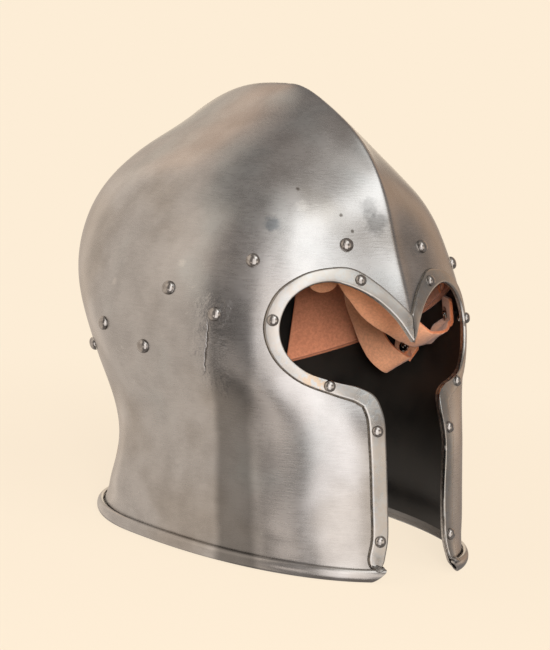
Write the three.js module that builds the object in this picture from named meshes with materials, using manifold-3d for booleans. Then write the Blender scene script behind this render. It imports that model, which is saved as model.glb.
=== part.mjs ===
// A barbute: a steel helmet raised from one sheet, with a T-shaped face opening, a keel over the
// crown, riveted trim round the face, a rim rolled over a wire, and a leather liner and chin strap.
// Millimetres, +Z up, the face towards -Y, the wearer's left at +X, the rim's foot at Z = 0.
import * as THREE from "three";
import { mergeVertices } from "three/addons/utils/BufferGeometryUtils.js";
import Module from "manifold-3d";

const wasm = await Module();
wasm.setup();

// Driving dimensions of the shell
const shellHeight = 258;
const halfWidth = 110;
const frontReach = 153;
const backReach = 129;
const sheet = 1.6;
const clearance = 0.3;

// The keel: a ridge from the nasal over the crown to the nape
const keelHeight = 12.5;
const keelSpread = 15;
const keelCrest = 1;
const keelBlend = 15;

// The rim: the sheet's foot is rolled outwards round a wire, and stands on a narrow flat
const wireRadius = 2;
const rollGap = 0.2;
const rollInner = wireRadius + rollGap;
const rollOuter = rollInner + sheet;
const rollFlatAngle = THREE.MathUtils.degToRad(15);
const rollHeight = rollOuter * Math.cos(rollFlatAngle);

// The face opening and its trim, as seen from the front
const openingReach = 72.5;
const browHeight = 162;
const trimWidth = 9;
const trimSheet = 1.5;

// Rivets
const trimHeadRadius = 3.4;
const trimHeadHeight = 2.2;
const linerHeadRadius = 4.1;
const linerHeadHeight = 2.8;
const shankRadius = 1.4;
const holeRadius = shankRadius + clearance;
const tailRadius = 2.1;
const tailHeight = 1;
const washerRadius = 4.2;
const washerSheet = 0.8;
const washerSeat = 0.8;

// Leather
const linerLeather = 1.8;
const bandWidth = 19;
const bandEndAngle = THREE.MathUtils.degToRad(131);

const strapWidth = 20;
const strapLeather = 2;
const strapSeat = 3.4;
const buckleBar = 1.2;
const buckleInside = 22;
const buckleDrop = 17;
const prongRadius = 1;

// The liner's rivets lie in a plane that passes above the brow's trim and falls towards the nape
const linerLift = 12;
const linerSlope = 0.544;
const linerReachShare = 0.625;
const linerHeight = browHeight + trimWidth + linerLift - linerSlope * linerReachShare * frontReach;
const strapRivetDrop = 27.5;
const linerRivetAngles = [17, 47, 72, 98, 117].map(THREE.MathUtils.degToRad);
// The strap's rivets: angle in degrees, and drop below the liner's plane as a share of the usual drop
const strapRivetShares = [
  ["front_left", 56, 1],
  ["rear_left", 82, 1.18],
  ["front_right", -56, 1],
  ["rear_right", -79, 1],
];

// One row per level, from the crown down to the rim: height, half width, reach to the front and to
// the back, and keel height at the front and back, as shares of the driving dimensions; then how
// square the section is at the front and back, where 2 is an ellipse
const levelShares = [
  [1.0, 0.0, 0.0, 0.0, 1.0, 1.0, 2.0, 2.2],
  [0.979, 0.184, 0.19, 0.348, 0.735, 1.08, 2.08, 2.25],
  [0.895, 0.509, 0.391, 0.707, 0.986, 1.0, 1.97, 2.22],
  [0.795, 0.788, 0.56, 0.918, 0.641, 0.79, 2.06, 2.2],
  [0.678, 0.931, 0.657, 1.01, 0.534, 0.57, 2.21, 2.24],
  [0.547, 1.028, 0.759, 0.957, 0.517, 0.36, 2.12, 2.12],
  [0.419, 1.018, 0.791, 0.845, 0.722, 0.16, 2.22, 1.86],
  [0.314, 0.895, 0.88, 0.719, 0.295, 0.08, 2.24, 2.01],
  [0.194, 0.841, 0.916, 0.618, 0.0, 0.0, 2.41, 1.89],
  [0.093, 0.865, 0.944, 0.625, 0.0, 0.0, 2.32, 1.9],
  [0.047, 0.85, 0.958, 0.672, 0.0, 0.0, 2.32, 1.94],
  [0.0, 0.83, 0.975, 0.724, 0.0, 0.0, 2.3, 1.97],
];
const rowsPerLevel = 2;
const lastRow = (levelShares.length - 1) * rowsPerLevel;

// Where the shell's columns stand in a quarter turn: close together at the keel
const columnShares = [0, 0.015, 0.045, 0.09, 0.15, 0.23, 0.33, 0.45, 0.58, 0.72, 0.86];

// The opening's edge on one side, from the nasal's tip round the eye and down the slot: shares of
// openingReach and browHeight, and the trim's width there as a share of trimWidth
const openingShares = [
  [0.0, 0.809, 1.05],
  [0.131, 0.893, 0.88],
  [0.283, 0.952, 0.95],
  [0.446, 0.987, 1.1],
  [0.607, 1.0, 0.76],
  [0.778, 0.98, 0.66],
  [0.924, 0.926, 0.68],
  [1.0, 0.833, 0.71],
  [0.96, 0.75, 0.7],
  [0.841, 0.695, 0.71],
  [0.634, 0.664, 0.78],
  [0.455, 0.647, 0.93],
  [0.348, 0.62, 1.08],
  [0.314, 0.568, 1.05],
  [0.321, 0.463, 1.01],
  [0.303, 0.278, 1.02],
  [0.309, 0.136, 0.98],
  [0.345, 0.07, 0.96],
  [0.4, 0.0, 0.96],
];
const openingSteps = 40;
// The trim's rivets, as shares of the way along the opening's edge
const trimRivetShares = [
  ["brow", 0.152],
  ["temple", 0.362],
  ["cheekbone", 0.523],
  ["cheek", 0.69],
  ["foot", 0.918],
];

const steel = new THREE.MeshStandardMaterial({ color: 0xa8a39b, roughness: 0.35, metalness: 1 });
const trimSteel = new THREE.MeshStandardMaterial({ color: 0xb4b2ad, roughness: 0.3, metalness: 1 });
const rivetSteel = new THREE.MeshStandardMaterial({ color: 0xc2bfb8, roughness: 0.25, metalness: 1 });
const leather = new THREE.MeshStandardMaterial({ color: 0xb5704c, roughness: 0.85, metalness: 0 });

const barbute = new THREE.Group();
barbute.name = "barbute";

// Solids and geometries

function toSolid(geometry) {
  const bare = geometry.clone();
  bare.deleteAttribute("normal");
  bare.deleteAttribute("uv");
  const merged = mergeVertices(bare);
  const mesh = new wasm.Mesh({
    numProp: 3,
    vertProperties: merged.attributes.position.array,
    triVerts: new Uint32Array(merged.index.array),
  });
  return new wasm.Manifold(mesh);
}

function toGeometry(solid) {
  const mesh = solid.getMesh();
  const geometry = new THREE.BufferGeometry();
  geometry.setAttribute("position", new THREE.BufferAttribute(mesh.vertProperties, 3));
  geometry.setIndex(new THREE.BufferAttribute(mesh.triVerts, 1));
  geometry.computeVertexNormals();
  return geometry;
}

// A closed body from rings of points; each ring has as many points as the next
function loft(rings) {
  const count = rings[0].length;
  const index = [];
  for (let r = 0; r < rings.length - 1; r++) {
    const here = r * count;
    const next = here + count;
    for (let i = 0; i < count; i++) {
      const j = (i + 1) % count;
      index.push(here + i, here + j, next + j, here + i, next + j, next + i);
    }
  }
  const last = (rings.length - 1) * count;
  for (let i = 1; i < count - 1; i++) {
    index.push(0, i + 1, i);
    index.push(last, last + i, last + i + 1);
  }
  const geometry = new THREE.BufferGeometry().setFromPoints(rings.flat());
  geometry.setIndex(index);
  return geometry;
}

function addPiece(name, geometry, material) {
  geometry.computeVertexNormals();
  const mesh = new THREE.Mesh(geometry, material);
  mesh.name = name;
  barbute.add(mesh);
  return mesh;
}

// The shell's surface

function levelValues(level) {
  const last = levelShares.length - 1;
  const row = (i) => {
    if (i < 0) return levelShares[1].map((v, k) => (k >= 1 && k <= 3 ? -v : v));
    if (i > last) return levelShares[last].map((v, k) => 2 * v - levelShares[last - 1][k]);
    return levelShares[i];
  };
  const i = Math.min(Math.floor(level), last - 1);
  const f = level - i;
  const [p0, p1, p2, p3] = [row(i - 1), row(i), row(i + 1), row(i + 2)];
  return p1.map((_, k) => {
    const slope = p2[k] - p0[k];
    const bend = 2 * p0[k] - 5 * p1[k] + 4 * p2[k] - p3[k];
    const twist = 3 * p1[k] - p0[k] - 3 * p2[k] + p3[k];
    return (2 * p1[k] + slope * f + bend * f * f + twist * f * f * f) / 2;
  });
}

const signedPower = (v, power) => Math.sign(v) * Math.abs(v) ** power;

// The shell without its keel; turn 0 is the middle of the face, and a quarter turn is the left side
function bowlPoint(level, turn) {
  const [height, side, front, back, , , frontSquare, backSquare] = levelValues(level);
  const ahead = Math.cos(turn) > 0;
  const square = 2 / (ahead ? frontSquare : backSquare);
  const reach = ahead ? front * frontReach : back * backReach;
  return new THREE.Vector3(
    side * halfWidth * signedPower(Math.sin(turn), square),
    -reach * signedPower(Math.cos(turn), square),
    rollHeight + height * (shellHeight - rollHeight),
  );
}

function bowlNormal(level, turn) {
  const step = 1e-3;
  const last = levelShares.length - 1;
  const above = Math.max(level - step, 0);
  const below = Math.min(level + step, last);
  const down = bowlPoint(below, turn).sub(bowlPoint(above, turn));
  const round = bowlPoint(level, turn + step).sub(bowlPoint(level, turn - step));
  return down.cross(round).normalize();
}

// A point of the shell's skin, moved out by an offset
function skinPoint(level, turn, offset) {
  if (level === 0) return new THREE.Vector3(0, 0, shellHeight + keelHeight + offset);
  const values = levelValues(level);
  const point = bowlPoint(level, turn);
  const normal = bowlNormal(level, turn);
  const frontShare = (1 - Math.tanh(point.y / keelBlend)) / 2;
  const keel = keelHeight * (values[4] * frontShare + values[5] * (1 - frontShare));
  const away = Math.hypot(point.x, keelCrest) - keelCrest;
  if (level === levelShares.length - 1) normal.setZ(0).normalize();
  return point.addScaledVector(normal, keel * Math.exp(-away / keelSpread) + offset);
}

const quarter = Math.PI / 2;
const turns = [
  ...columnShares.map((s) => s * quarter),
  ...columnShares.map((s) => Math.PI - s * quarter).reverse(),
];
turns.splice(columnShares.length, 0, quarter);
const mirroredTurns = turns.slice(1, -1).reverse().map((t) => 2 * Math.PI - t);
const allTurns = [...turns, ...mirroredTurns];

// One column of the skin, from below the crown down to the given row
const skinColumn = (turn, offset, firstRow, toRow) => {
  const column = [];
  for (let row = firstRow; row <= toRow; row++) {
    column.push(skinPoint(row / rowsPerLevel, turn, offset));
  }
  return column;
};

// Steel shell with its rolled rim

const rollAngles = [215, 255, 285, 320, 355, 390, 430, 475].map(THREE.MathUtils.degToRad);

function rollCentre(turn) {
  const foot = skinPoint(levelShares.length - 1, turn, 0);
  const out = bowlNormal(levelShares.length - 1, turn).setZ(0).normalize();
  return { centre: foot.addScaledVector(out, rollInner), out };
}

function rollPoint(turn, radius, angle) {
  const { centre, out } = rollCentre(turn);
  const point = centre.addScaledVector(out, radius * Math.cos(angle));
  point.z += radius * Math.sin(angle);
  return point;
}

// A body from columns of points that stand round the head. Each column runs down one skin, and back
// up the other from its point number downCount. A body without a crown is open at its top. The quads
// of both skins are split along like diagonals, so that layers keep their distance
function roundSolid(columns, downCount, crown = []) {
  const count = columns[0].length;
  const index = [];
  columns.forEach((_, c) => {
    const here = c * count;
    const next = ((c + 1) % columns.length) * count;
    for (let i = 0; i < (crown.length ? count - 1 : count); i++) {
      const j = (i + 1) % count;
      if (i < downCount) index.push(here + i, here + j, next + j, here + i, next + j, next + i);
      else index.push(here + i, here + j, next + i, here + j, next + j, next + i);
    }
    if (crown.length) {
      index.push(columns.length * count, here, next);
      index.push(columns.length * count + 1, next + count - 1, here + count - 1);
    }
  });
  const geometry = new THREE.BufferGeometry().setFromPoints([...columns.flat(), ...crown]);
  geometry.setIndex(index);
  return toSolid(geometry);
}

function shellSolid() {
  const columns = allTurns.map((turn) => [
    ...skinColumn(turn, 0, 1, lastRow),
    ...rollAngles.map((angle) => rollPoint(turn, rollInner, angle)),
    ...rollAngles.toReversed().map((angle) => rollPoint(turn, rollOuter, angle)),
    ...skinColumn(turn, -sheet, 1, lastRow).reverse(),
  ]);
  return roundSolid(columns, lastRow + rollAngles.length, [skinPoint(0, 0, 0), skinPoint(0, 0, -sheet)]);
}

// A layer that lies on the shell's skin, between two offsets, from one row down to another
function layerSolid(outer, inner, firstRow, toRow) {
  const columns = allTurns.map((turn) => [
    ...skinColumn(turn, outer, firstRow, toRow),
    ...skinColumn(turn, inner, firstRow, toRow).reverse(),
  ]);
  return roundSolid(columns, toRow - firstRow + 1);
}

// An outline of points across and up, extruded from one depth to another along Y, or, for a plan
// of points across and back, up along Z
function frontPrism(outline, from, to) {
  const geometry = new THREE.ExtrudeGeometry(new THREE.Shape(outline), { depth: to - from, bevelEnabled: false });
  return toSolid(geometry.rotateX(quarter).translate(0, to, 0));
}

function planPrism(outline, height) {
  const geometry = new THREE.ExtrudeGeometry(new THREE.Shape(outline), { depth: height, bevelEnabled: false });
  return toSolid(geometry);
}

// Face opening

const openingCurve = new THREE.CatmullRomCurve3(
  openingShares.map(([across, up, width]) => {
    return new THREE.Vector3(across * openingReach, up * browHeight, width * trimWidth);
  }),
);
const openingEdge = openingCurve.getSpacedPoints(openingSteps);

function openingOutline() {
  const side = openingEdge.map((p) => new THREE.Vector2(p.x, p.y));
  const foot = new THREE.Vector2(openingEdge.at(-1).x, -rollOuter);
  const left = [...side, foot];
  const right = left.slice(1).reverse().map((p) => new THREE.Vector2(-p.x, p.y));
  return [...left, ...right];
}

const faceDepth = frontReach + rollOuter * 2;
const faceCutBack = openingReach - trimWidth;
const openingPrism = frontPrism(openingOutline(), -faceDepth, -faceCutBack);

// Where a piece is seated: a point of the shell's outer face, and the way out of it

const bareShell = shellSolid();
const seatMesh = new THREE.Mesh(toGeometry(bareShell));
const caster = new THREE.Raycaster();

function seatFrom(origin, direction) {
  caster.set(origin, direction.clone().normalize());
  const hit = caster.intersectObject(seatMesh)[0];
  return { point: hit.point, normal: hit.face.normal.clone() };
}

function trimSeat(share, side) {
  const edge = openingCurve.getPointAt(share);
  const along = openingCurve.getTangentAt(share);
  const out = new THREE.Vector2(along.y, -along.x).normalize().multiplyScalar(-edge.z / 2);
  const origin = new THREE.Vector3(side * (edge.x + out.x), -faceDepth, edge.y + out.y);
  return seatFrom(origin, new THREE.Vector3(0, 1, 0));
}

function linerSeat(angle, drop, side) {
  const away = halfWidth + frontReach;
  const origin = new THREE.Vector3(side * Math.sin(angle), -Math.cos(angle), linerSlope * Math.cos(angle));
  const inward = origin.clone().negate();
  origin.multiplyScalar(away);
  origin.z += linerHeight - drop;
  return seatFrom(origin, inward);
}

const sides = [
  ["left", 1],
  ["right", -1],
];
const trimSeats = sides.flatMap(([side, sign]) => {
  return trimRivetShares.map(([place, share]) => ({ name: `${place}_${side}`, ...trimSeat(share, sign) }));
});
const linerSeats = sides.flatMap(([side, sign]) => {
  return linerRivetAngles.map((angle, i) => ({ name: `${i + 1}_${side}`, ...linerSeat(angle, 0, sign) }));
});
const strapSeats = strapRivetShares.map(([name, angle, drop]) => {
  return { name, ...linerSeat(THREE.MathUtils.degToRad(angle), strapRivetDrop * drop, 1) };
});

function placeAt(seat, object) {
  object.position.copy(seat.point);
  object.quaternion.setFromUnitVectors(new THREE.Vector3(0, 1, 0), seat.normal);
  return object;
}

const rivetSides = 8;
const holeDepth = sheet * 8;

function drill(solid, seats) {
  for (const seat of seats) {
    const drillBit = new THREE.CylinderGeometry(holeRadius, holeRadius, holeDepth * 2, rivetSides);
    const placed = placeAt(seat, new THREE.Object3D());
    placed.updateMatrix();
    solid = solid.subtract(toSolid(drillBit.applyMatrix4(placed.matrix)));
  }
  return solid;
}

// Skull: the raised shell, with its opening and its rivet holes

const skull = drill(bareShell.subtract(openingPrism), [...trimSeats, ...linerSeats, ...strapSeats]);
addPiece("skull", toGeometry(skull), steel);

// Rim wire: inside the roll, from one cheek round the nape to the other

function wireRing(turn) {
  const ring = [];
  const corners = 6;
  for (let i = 0; i < corners; i++) ring.push(rollPoint(turn, wireRadius, -(i / corners) * 2 * Math.PI));
  return ring;
}

const wireEnd = allTurns.findIndex((turn) => rollPoint(turn, 0, 0).x > openingEdge.at(-1).x + wireRadius);
const wireTurns = allTurns.slice(wireEnd, allTurns.length - wireEnd + 1);
addPiece("rim_wire", loft(wireTurns.map(wireRing)), steel);

// Trim: one strip on each side, riveted over the opening's edge, and butted on the nasal's ridge

const trimFoot = rollHeight + rollOuter + clearance;
const trimLayer = layerSolid(clearance + trimSheet, clearance, rowsPerLevel, lastRow);

function trimOutline(sign) {
  const kept = openingEdge.filter((p) => p.y > trimFoot);
  kept.push(kept.at(-1).clone().setY(trimFoot));
  const outer = [];
  kept.forEach((p, i) => {
    const before = kept[Math.max(i - 1, 0)];
    const after = kept[Math.min(i + 1, kept.length - 1)];
    const along = new THREE.Vector2(after.x - before.x, after.y - before.y).normalize();
    outer.push(new THREE.Vector2(p.x - along.y * p.z, p.y + along.x * p.z));
  });
  const clear = (p) => new THREE.Vector2(sign * Math.max(p.x, clearance / 2), p.y);
  const outline = [...kept.map(clear), ...outer.filter((p) => p.x > 0).reverse().map(clear)];
  return sign > 0 ? outline : outline.reverse();
}

for (const [side, sign] of sides) {
  const strip = trimLayer.intersect(frontPrism(trimOutline(sign), -faceDepth, -faceCutBack));
  addPiece(`trim_${side}`, toGeometry(drill(strip, trimSeats)), trimSteel);
}

// Rivets and washers

// A rivet along +Y: its domed head stands on headBase, and its tail is closed below tailTop
function rivetGeometry(headRadius, headHeight, headBase, tailTop) {
  const profile = [new THREE.Vector2(0, tailTop - tailHeight)];
  profile.push(new THREE.Vector2(tailRadius, tailTop - tailHeight / 2));
  profile.push(new THREE.Vector2(tailRadius, tailTop));
  profile.push(new THREE.Vector2(shankRadius, tailTop));
  profile.push(new THREE.Vector2(shankRadius, headBase));
  const steps = 3;
  for (let i = 0; i <= steps; i++) {
    const rise = (i / steps) * quarter;
    const radius = i === steps ? 0 : headRadius * Math.cos(rise);
    profile.push(new THREE.Vector2(radius, headBase + headHeight * Math.sin(rise)));
  }
  return new THREE.LatheGeometry(profile, rivetSides);
}

const trimRivet = rivetGeometry(trimHeadRadius, trimHeadHeight, trimSheet + clearance * 2, -sheet - clearance * 2);
for (const seat of trimSeats) {
  placeAt(seat, addPiece(`trim_rivet_${seat.name}`, trimRivet.clone(), rivetSteel));
}

// What a liner rivet holds, from the shell inwards: the band or strap, a washer, and its own tail
const leatherTop = -sheet - clearance;
const bandTop = leatherTop;
const washerTop = bandTop - linerLeather - washerSeat;
const linerTail = washerTop - washerSheet - clearance;

function washerGeometry(top) {
  const corners = [
    [holeRadius, top - washerSheet],
    [washerRadius, top - washerSheet],
    [washerRadius, top],
    [holeRadius, top],
    [holeRadius, top - washerSheet],
  ];
  return new THREE.LatheGeometry(corners.map(([r, y]) => new THREE.Vector2(r, y)), rivetSides);
}

const strapTop = leatherTop - strapSeat;
const strapWasherTop = strapTop - strapLeather - clearance * 2;
const strapTail = strapWasherTop - washerSheet - clearance;

const linerRivet = rivetGeometry(linerHeadRadius, linerHeadHeight, clearance, linerTail);
const strapRivet = rivetGeometry(linerHeadRadius, linerHeadHeight, clearance, strapTail);
const washer = washerGeometry(washerTop);
const strapWasher = washerGeometry(strapWasherTop);
for (const seat of linerSeats) {
  placeAt(seat, addPiece(`liner_rivet_${seat.name}`, linerRivet.clone(), rivetSteel));
  placeAt(seat, addPiece(`liner_washer_${seat.name}`, washer.clone(), steel));
}
for (const seat of strapSeats) {
  placeAt(seat, addPiece(`strap_rivet_${seat.name}`, strapRivet.clone(), rivetSteel));
  placeAt(seat, addPiece(`strap_washer_${seat.name}`, strapWasher.clone(), steel));
}

// Liner: a headband under the rivets, and lobes that rise from it to the crown

// A slab that follows the liner's plane, between two heights above it
function linerSlab(below, above) {
  const reach = halfWidth + frontReach;
  const outline = [
    [-reach, below],
    [reach, below],
    [reach, above],
    [-reach, above],
  ].map(([y, up]) => new THREE.Vector2(y, linerHeight + up - linerSlope * y));
  const geometry = new THREE.ExtrudeGeometry(new THREE.Shape(outline), { depth: reach * 2, bevelEnabled: false });
  const turned = geometry.rotateX(quarter).rotateZ(quarter);
  return toSolid(turned.translate(-reach, 0, 0));
}

// A wedge seen from above, from one angle to another about the head's axis
function wedge(from, to) {
  const reach = halfWidth + frontReach;
  const steps = 8;
  const outline = [new THREE.Vector2(0, 0)];
  for (let i = 0; i <= steps; i++) {
    const angle = from + ((to - from) * i) / steps;
    outline.push(new THREE.Vector2(Math.sin(angle) * reach, -Math.cos(angle) * reach));
  }
  return planPrism(outline, shellHeight * 2);
}

const bandDrop = (bandWidth / 2) * Math.hypot(1, linerSlope);
const bandLayer = layerSolid(bandTop, bandTop - linerLeather, rowsPerLevel, lastRow);
const headband = bandLayer.intersect(linerSlab(-bandDrop, bandDrop)).intersect(wedge(-bandEndAngle, bandEndAngle));
addPiece("headband", toGeometry(drill(headband, linerSeats)), leather);

// Lobes, each between two angles on its side
const lobeAngles = [
  ["front", 13, 57],
  ["side", 59, 96],
  ["rear", 98, 131],
];
const lobeTop = linerTail - tailHeight - clearance;
const lobeLayer = layerSolid(lobeTop, lobeTop - linerLeather, rowsPerLevel + 1, lastRow);
const lobeSpace = linerSlab(-bandDrop, shellHeight * 2);
for (const [side, sign] of sides) {
  for (const [place, from, to] of lobeAngles) {
    const ends = [sign * THREE.MathUtils.degToRad(from), sign * THREE.MathUtils.degToRad(to)];
    ends.sort((a, b) => a - b);
    const lobe = lobeLayer.intersect(lobeSpace).intersect(wedge(...ends));
    addPiece(`liner_lobe_${place}_${side}`, toGeometry(lobe), leather);
  }
}

// Chin strap: two legs on each side, riveted to the shell. On the left they hang in the helmet and
// meet at a tongue that is tucked up in the crown. On the right they hang down to a buckle

const place = ([across, along, up]) => {
  return new THREE.Vector3(across * halfWidth, along * frontReach, up * linerHeight);
};

// A strap from stations, each the middle of the strap and the way its width points
function ribbon(stations, width, thickness) {
  const rings = stations.map(({ at, wide }, i) => {
    const before = stations[Math.max(i - 1, 0)].at;
    const after = stations[Math.min(i + 1, stations.length - 1)].at;
    const along = after.clone().sub(before).normalize();
    const side = wide.clone().addScaledVector(along, -wide.dot(along)).normalize();
    const face = along.clone().cross(side);
    const corner = (s, f) => {
      return at.clone().addScaledVector(side, (s * width) / 2).addScaledVector(face, (f * thickness) / 2);
    };
    return [corner(-1, -1), corner(1, -1), corner(1, 1), corner(-1, 1)];
  });
  return loft(rings);
}

// The stations that a strap passes, smoothed
function smooth(passed, steps) {
  const curve = new THREE.CatmullRomCurve3(passed.map((s) => s.at));
  const stations = [];
  for (let i = 0; i <= steps; i++) {
    const t = (i / steps) * (passed.length - 1);
    const k = Math.min(Math.floor(t), passed.length - 2);
    const wide = passed[k].wide.clone().lerp(passed[k + 1].wide, t - k).normalize();
    stations.push({ at: curve.getPoint(i / steps), wide });
  }
  return stations;
}

const widthWay = (shares) => new THREE.Vector3(...shares.slice(3));

// The stations of a leg that hangs from a seat on the shell
function legPassing(shares, seat) {
  return shares.map((s) => {
    const at = new THREE.Vector3(s[0] * seat.point.x, s[1] * frontReach, s[2] * seat.point.z);
    return { at, wide: widthWay(s) };
  });
}

// How a leg starts: its end above its rivet, the middle of its rivet, and a point below. It hangs
// straight down, or leans so that it runs down and forwards
function legStart(seat, lean) {
  const middle = seat.point.clone().addScaledVector(seat.normal, strapTop - strapLeather / 2);
  const wide = new THREE.Vector3(0, 0, 1).cross(seat.normal).normalize();
  const up = seat.normal.clone().cross(wide).normalize();
  if (wide.y < 0) wide.negate();
  const turn = -lean * Math.sign(seat.normal.x);
  wide.applyAxisAngle(seat.normal, turn);
  up.applyAxisAngle(seat.normal, turn);
  return [1 / 2, 0, -1 / 4].map((s) => ({ at: middle.clone().addScaledVector(up, s * strapWidth), wide }));
}

// Where each leg passes, as shares of its rivet's distance across, of frontReach and of its rivet's
// height, then the way the width points
const frontLegLeftShares = [
  [0.921, -0.4, 0.937, 0.3, 0.95, -0.12],
  [0.833, -0.435, 0.898, 0.6, 0.78, -0.2],
  [0.688, -0.447, 0.884, 0.58, 0.68, -0.45],
  [0.556, -0.459, 0.911, 0.45, 0.65, -0.6],
  [0.432, -0.475, 0.95, 0.2, 0.68, -0.7],
  [0.305, -0.479, 0.984, 0, 0.72, -0.69],
  [0.196, -0.475, 1.027, -0.18, 0.76, -0.63],
  [0.109, -0.463, 1.087, -0.28, 0.79, -0.55],
];
const rearLegLeftShares = [
  [0.912, -0.091, 0.966, -0.05, 0.87, -0.5],
  [0.834, -0.144, 0.926, -0.28, 0.76, -0.59],
  [0.748, -0.11, 0.982, -0.2, 0.79, -0.57],
  [0.709, -0.058, 1.085, -0.12, 0.81, -0.57],
  [0.687, -0.024, 1.194, -0.12, 0.81, -0.57],
  [0.601, -0.054, 1.316, -0.15, 0.81, -0.57],
  [0.391, -0.192, 1.427, -0.26, 0.82, -0.51],
  [0.22, -0.301, 1.469, -0.3, 0.82, -0.45],
  [0.146, -0.43, 1.42, -0.3, 0.83, -0.45],
];
// The tongue takes shares of halfWidth, frontReach and linerHeight
const tongueShares = [
  [-0.107, -0.4, 1.422, -0.1, 0.97, 0],
  [-0.082, -0.35, 1.465, -0.35, 0.9, 0],
  [-0.03, -0.287, 1.422, -0.6, 0.75, 0],
  [0.04, -0.248, 1.351, -0.7, 0.68, 0],
  [0.08, -0.229, 1.237, -0.76, 0.64, 0],
  [0.09, -0.216, 1.123, -0.76, 0.64, 0],
];
const frontLegRightShares = [
  [0.917, -0.365, 0.827, 0, 0.93, 0.35],
  [0.88, -0.325, 0.729, 0, 0.93, 0.35],
  [0.855, -0.292, 0.651, 0, 0.97, 0.2],
];
const rearLegRightShares = [
  [0.878, -0.163, 0.906, 0.1, 0.75, -0.65],
  [0.824, -0.203, 0.854, 0.1, 0.8, -0.6],
  [0.784, -0.242, 0.805, 0, 0.9, -0.45],
];
const legSteps = 24;

// Where straps are riveted to each other: the middle of the join, the way the straps run there, the
// way that layers are stacked, and the way their width points
const joinLeft = {
  middle: place([0.003, -0.433, 1.277]),
  along: new THREE.Vector3(-0.3, 0.35, 0.89).normalize(),
  out: new THREE.Vector3(0.9, 0.41, 0.14).normalize(),
  wide: new THREE.Vector3(-0.31, 0.84, -0.44),
};
const joinRight = {
  middle: place([-0.735, -0.275, 0.571]),
  along: new THREE.Vector3(0, 0, -1),
  out: new THREE.Vector3(1, 0, 0),
  wide: new THREE.Vector3(0, 1, 0),
};
const layerPitch = strapLeather + clearance * 2;

function joinStations(join, layer) {
  const at = (s) => {
    const point = join.middle.clone().addScaledVector(join.out, layer * layerPitch);
    return point.addScaledVector(join.along, (s * strapWidth) / 2);
  };
  return [-1, 0, 1].map((s) => ({ at: at(s), wide: join.wide }));
}

// The rivet of a join: its seat is the outermost layer's face
function joinSeat(join, topLayer) {
  const point = join.middle.clone().addScaledVector(join.out, topLayer * layerPitch + strapLeather / 2);
  return { point, normal: join.out };
}

const joinRivet = (layers) => {
  const stack = (layers - 1) * layerPitch + strapLeather;
  return rivetGeometry(trimHeadRadius, trimHeadHeight, clearance, -stack - clearance);
};

function addStrap(name, stations, seats) {
  const strap = drill(toSolid(ribbon(stations, strapWidth, strapLeather)), seats);
  addPiece(name, toGeometry(strap), leather);
}

const leftSeat = joinSeat(joinLeft, 1);
const rightSeat = joinSeat(joinRight, 1.5);
placeAt(leftSeat, addPiece("strap_join_rivet_left", joinRivet(3), rivetSteel));
placeAt(rightSeat, addPiece("strap_join_rivet_right", joinRivet(4), rivetSteel));

// Each leg's lean in degrees, its way, and the layer it takes in its join
const legs = [
  ["front_left", 0, frontLegLeftShares, joinLeft, 0, leftSeat],
  ["rear_left", 20, rearLegLeftShares, joinLeft, 1, leftSeat],
  ["front_right", -15, frontLegRightShares, joinRight, -0.5, rightSeat],
  ["rear_right", 40, rearLegRightShares, joinRight, -1.5, rightSeat],
];
for (const [name, lean, shares, join, layer, joined] of legs) {
  const seat = strapSeats.find((s) => s.name === name);
  const stations = [...legStart(seat, THREE.MathUtils.degToRad(lean)), ...legPassing(shares, seat), ...joinStations(join, layer)];
  addStrap(`chin_strap_${name}`, smooth(stations, legSteps), [seat, joined]);
}

// The tongue, with its holes for the prong
const tonguePassing = tongueShares.map((s) => ({ at: place(s), wide: widthWay(s) }));
const tongueStations = smooth([...joinStations(joinLeft, -1), ...tonguePassing], legSteps);
const prongHoles = [14, 17, 20].map((i) => {
  const along = tongueStations[i + 1].at.clone().sub(tongueStations[i - 1].at);
  return { point: tongueStations[i].at, normal: along.cross(tongueStations[i].wide).normalize() };
});
addStrap("chin_strap_tongue", tongueStations, [leftSeat, ...prongHoles]);

// Buckle: its bar lies in the fold of a short strap, and its frame and prong hang from the bar

const barMiddle = place([-0.703, -0.275, 0.351]);
const foldRadius = buckleBar + clearance + strapLeather / 2;
const foldSteps = 6;

function buckleStrapStations() {
  const fold = [];
  for (let i = 0; i <= foldSteps; i++) {
    const angle = Math.PI + (i / foldSteps) * Math.PI;
    const at = barMiddle.clone();
    at.x += foldRadius * Math.cos(angle);
    at.z += foldRadius * Math.sin(angle);
    fold.push({ at, wide: joinRight.wide });
  }
  return [...joinStations(joinRight, 0.5), ...fold, ...joinStations(joinRight, 1.5).reverse()];
}

// A round rod from one point to another
function rod(from, to, radius) {
  const along = to.clone().sub(from);
  const geometry = new THREE.CylinderGeometry(radius, radius, along.length(), rivetSides);
  const turned = new THREE.Quaternion().setFromUnitVectors(new THREE.Vector3(0, 1, 0), along.clone().normalize());
  const middle = from.clone().addScaledVector(along, 1 / 2);
  return toSolid(geometry.applyQuaternion(turned).translate(middle.x, middle.y, middle.z));
}

function ball(at, radius) {
  return toSolid(new THREE.SphereGeometry(radius, rivetSides, rivetSides).translate(at.x, at.y, at.z));
}

const prongSlot = prongRadius + clearance;
const slotCut = rod(
  barMiddle.clone().add(new THREE.Vector3(0, -prongSlot, 0)),
  barMiddle.clone().add(new THREE.Vector3(0, prongSlot, 0)),
  foldRadius + strapLeather * 2,
);
const buckleStrap = toSolid(ribbon(buckleStrapStations(), strapWidth, strapLeather)).subtract(slotCut);
addPiece("buckle_strap", toGeometry(drill(buckleStrap, [rightSeat])), leather);

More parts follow.
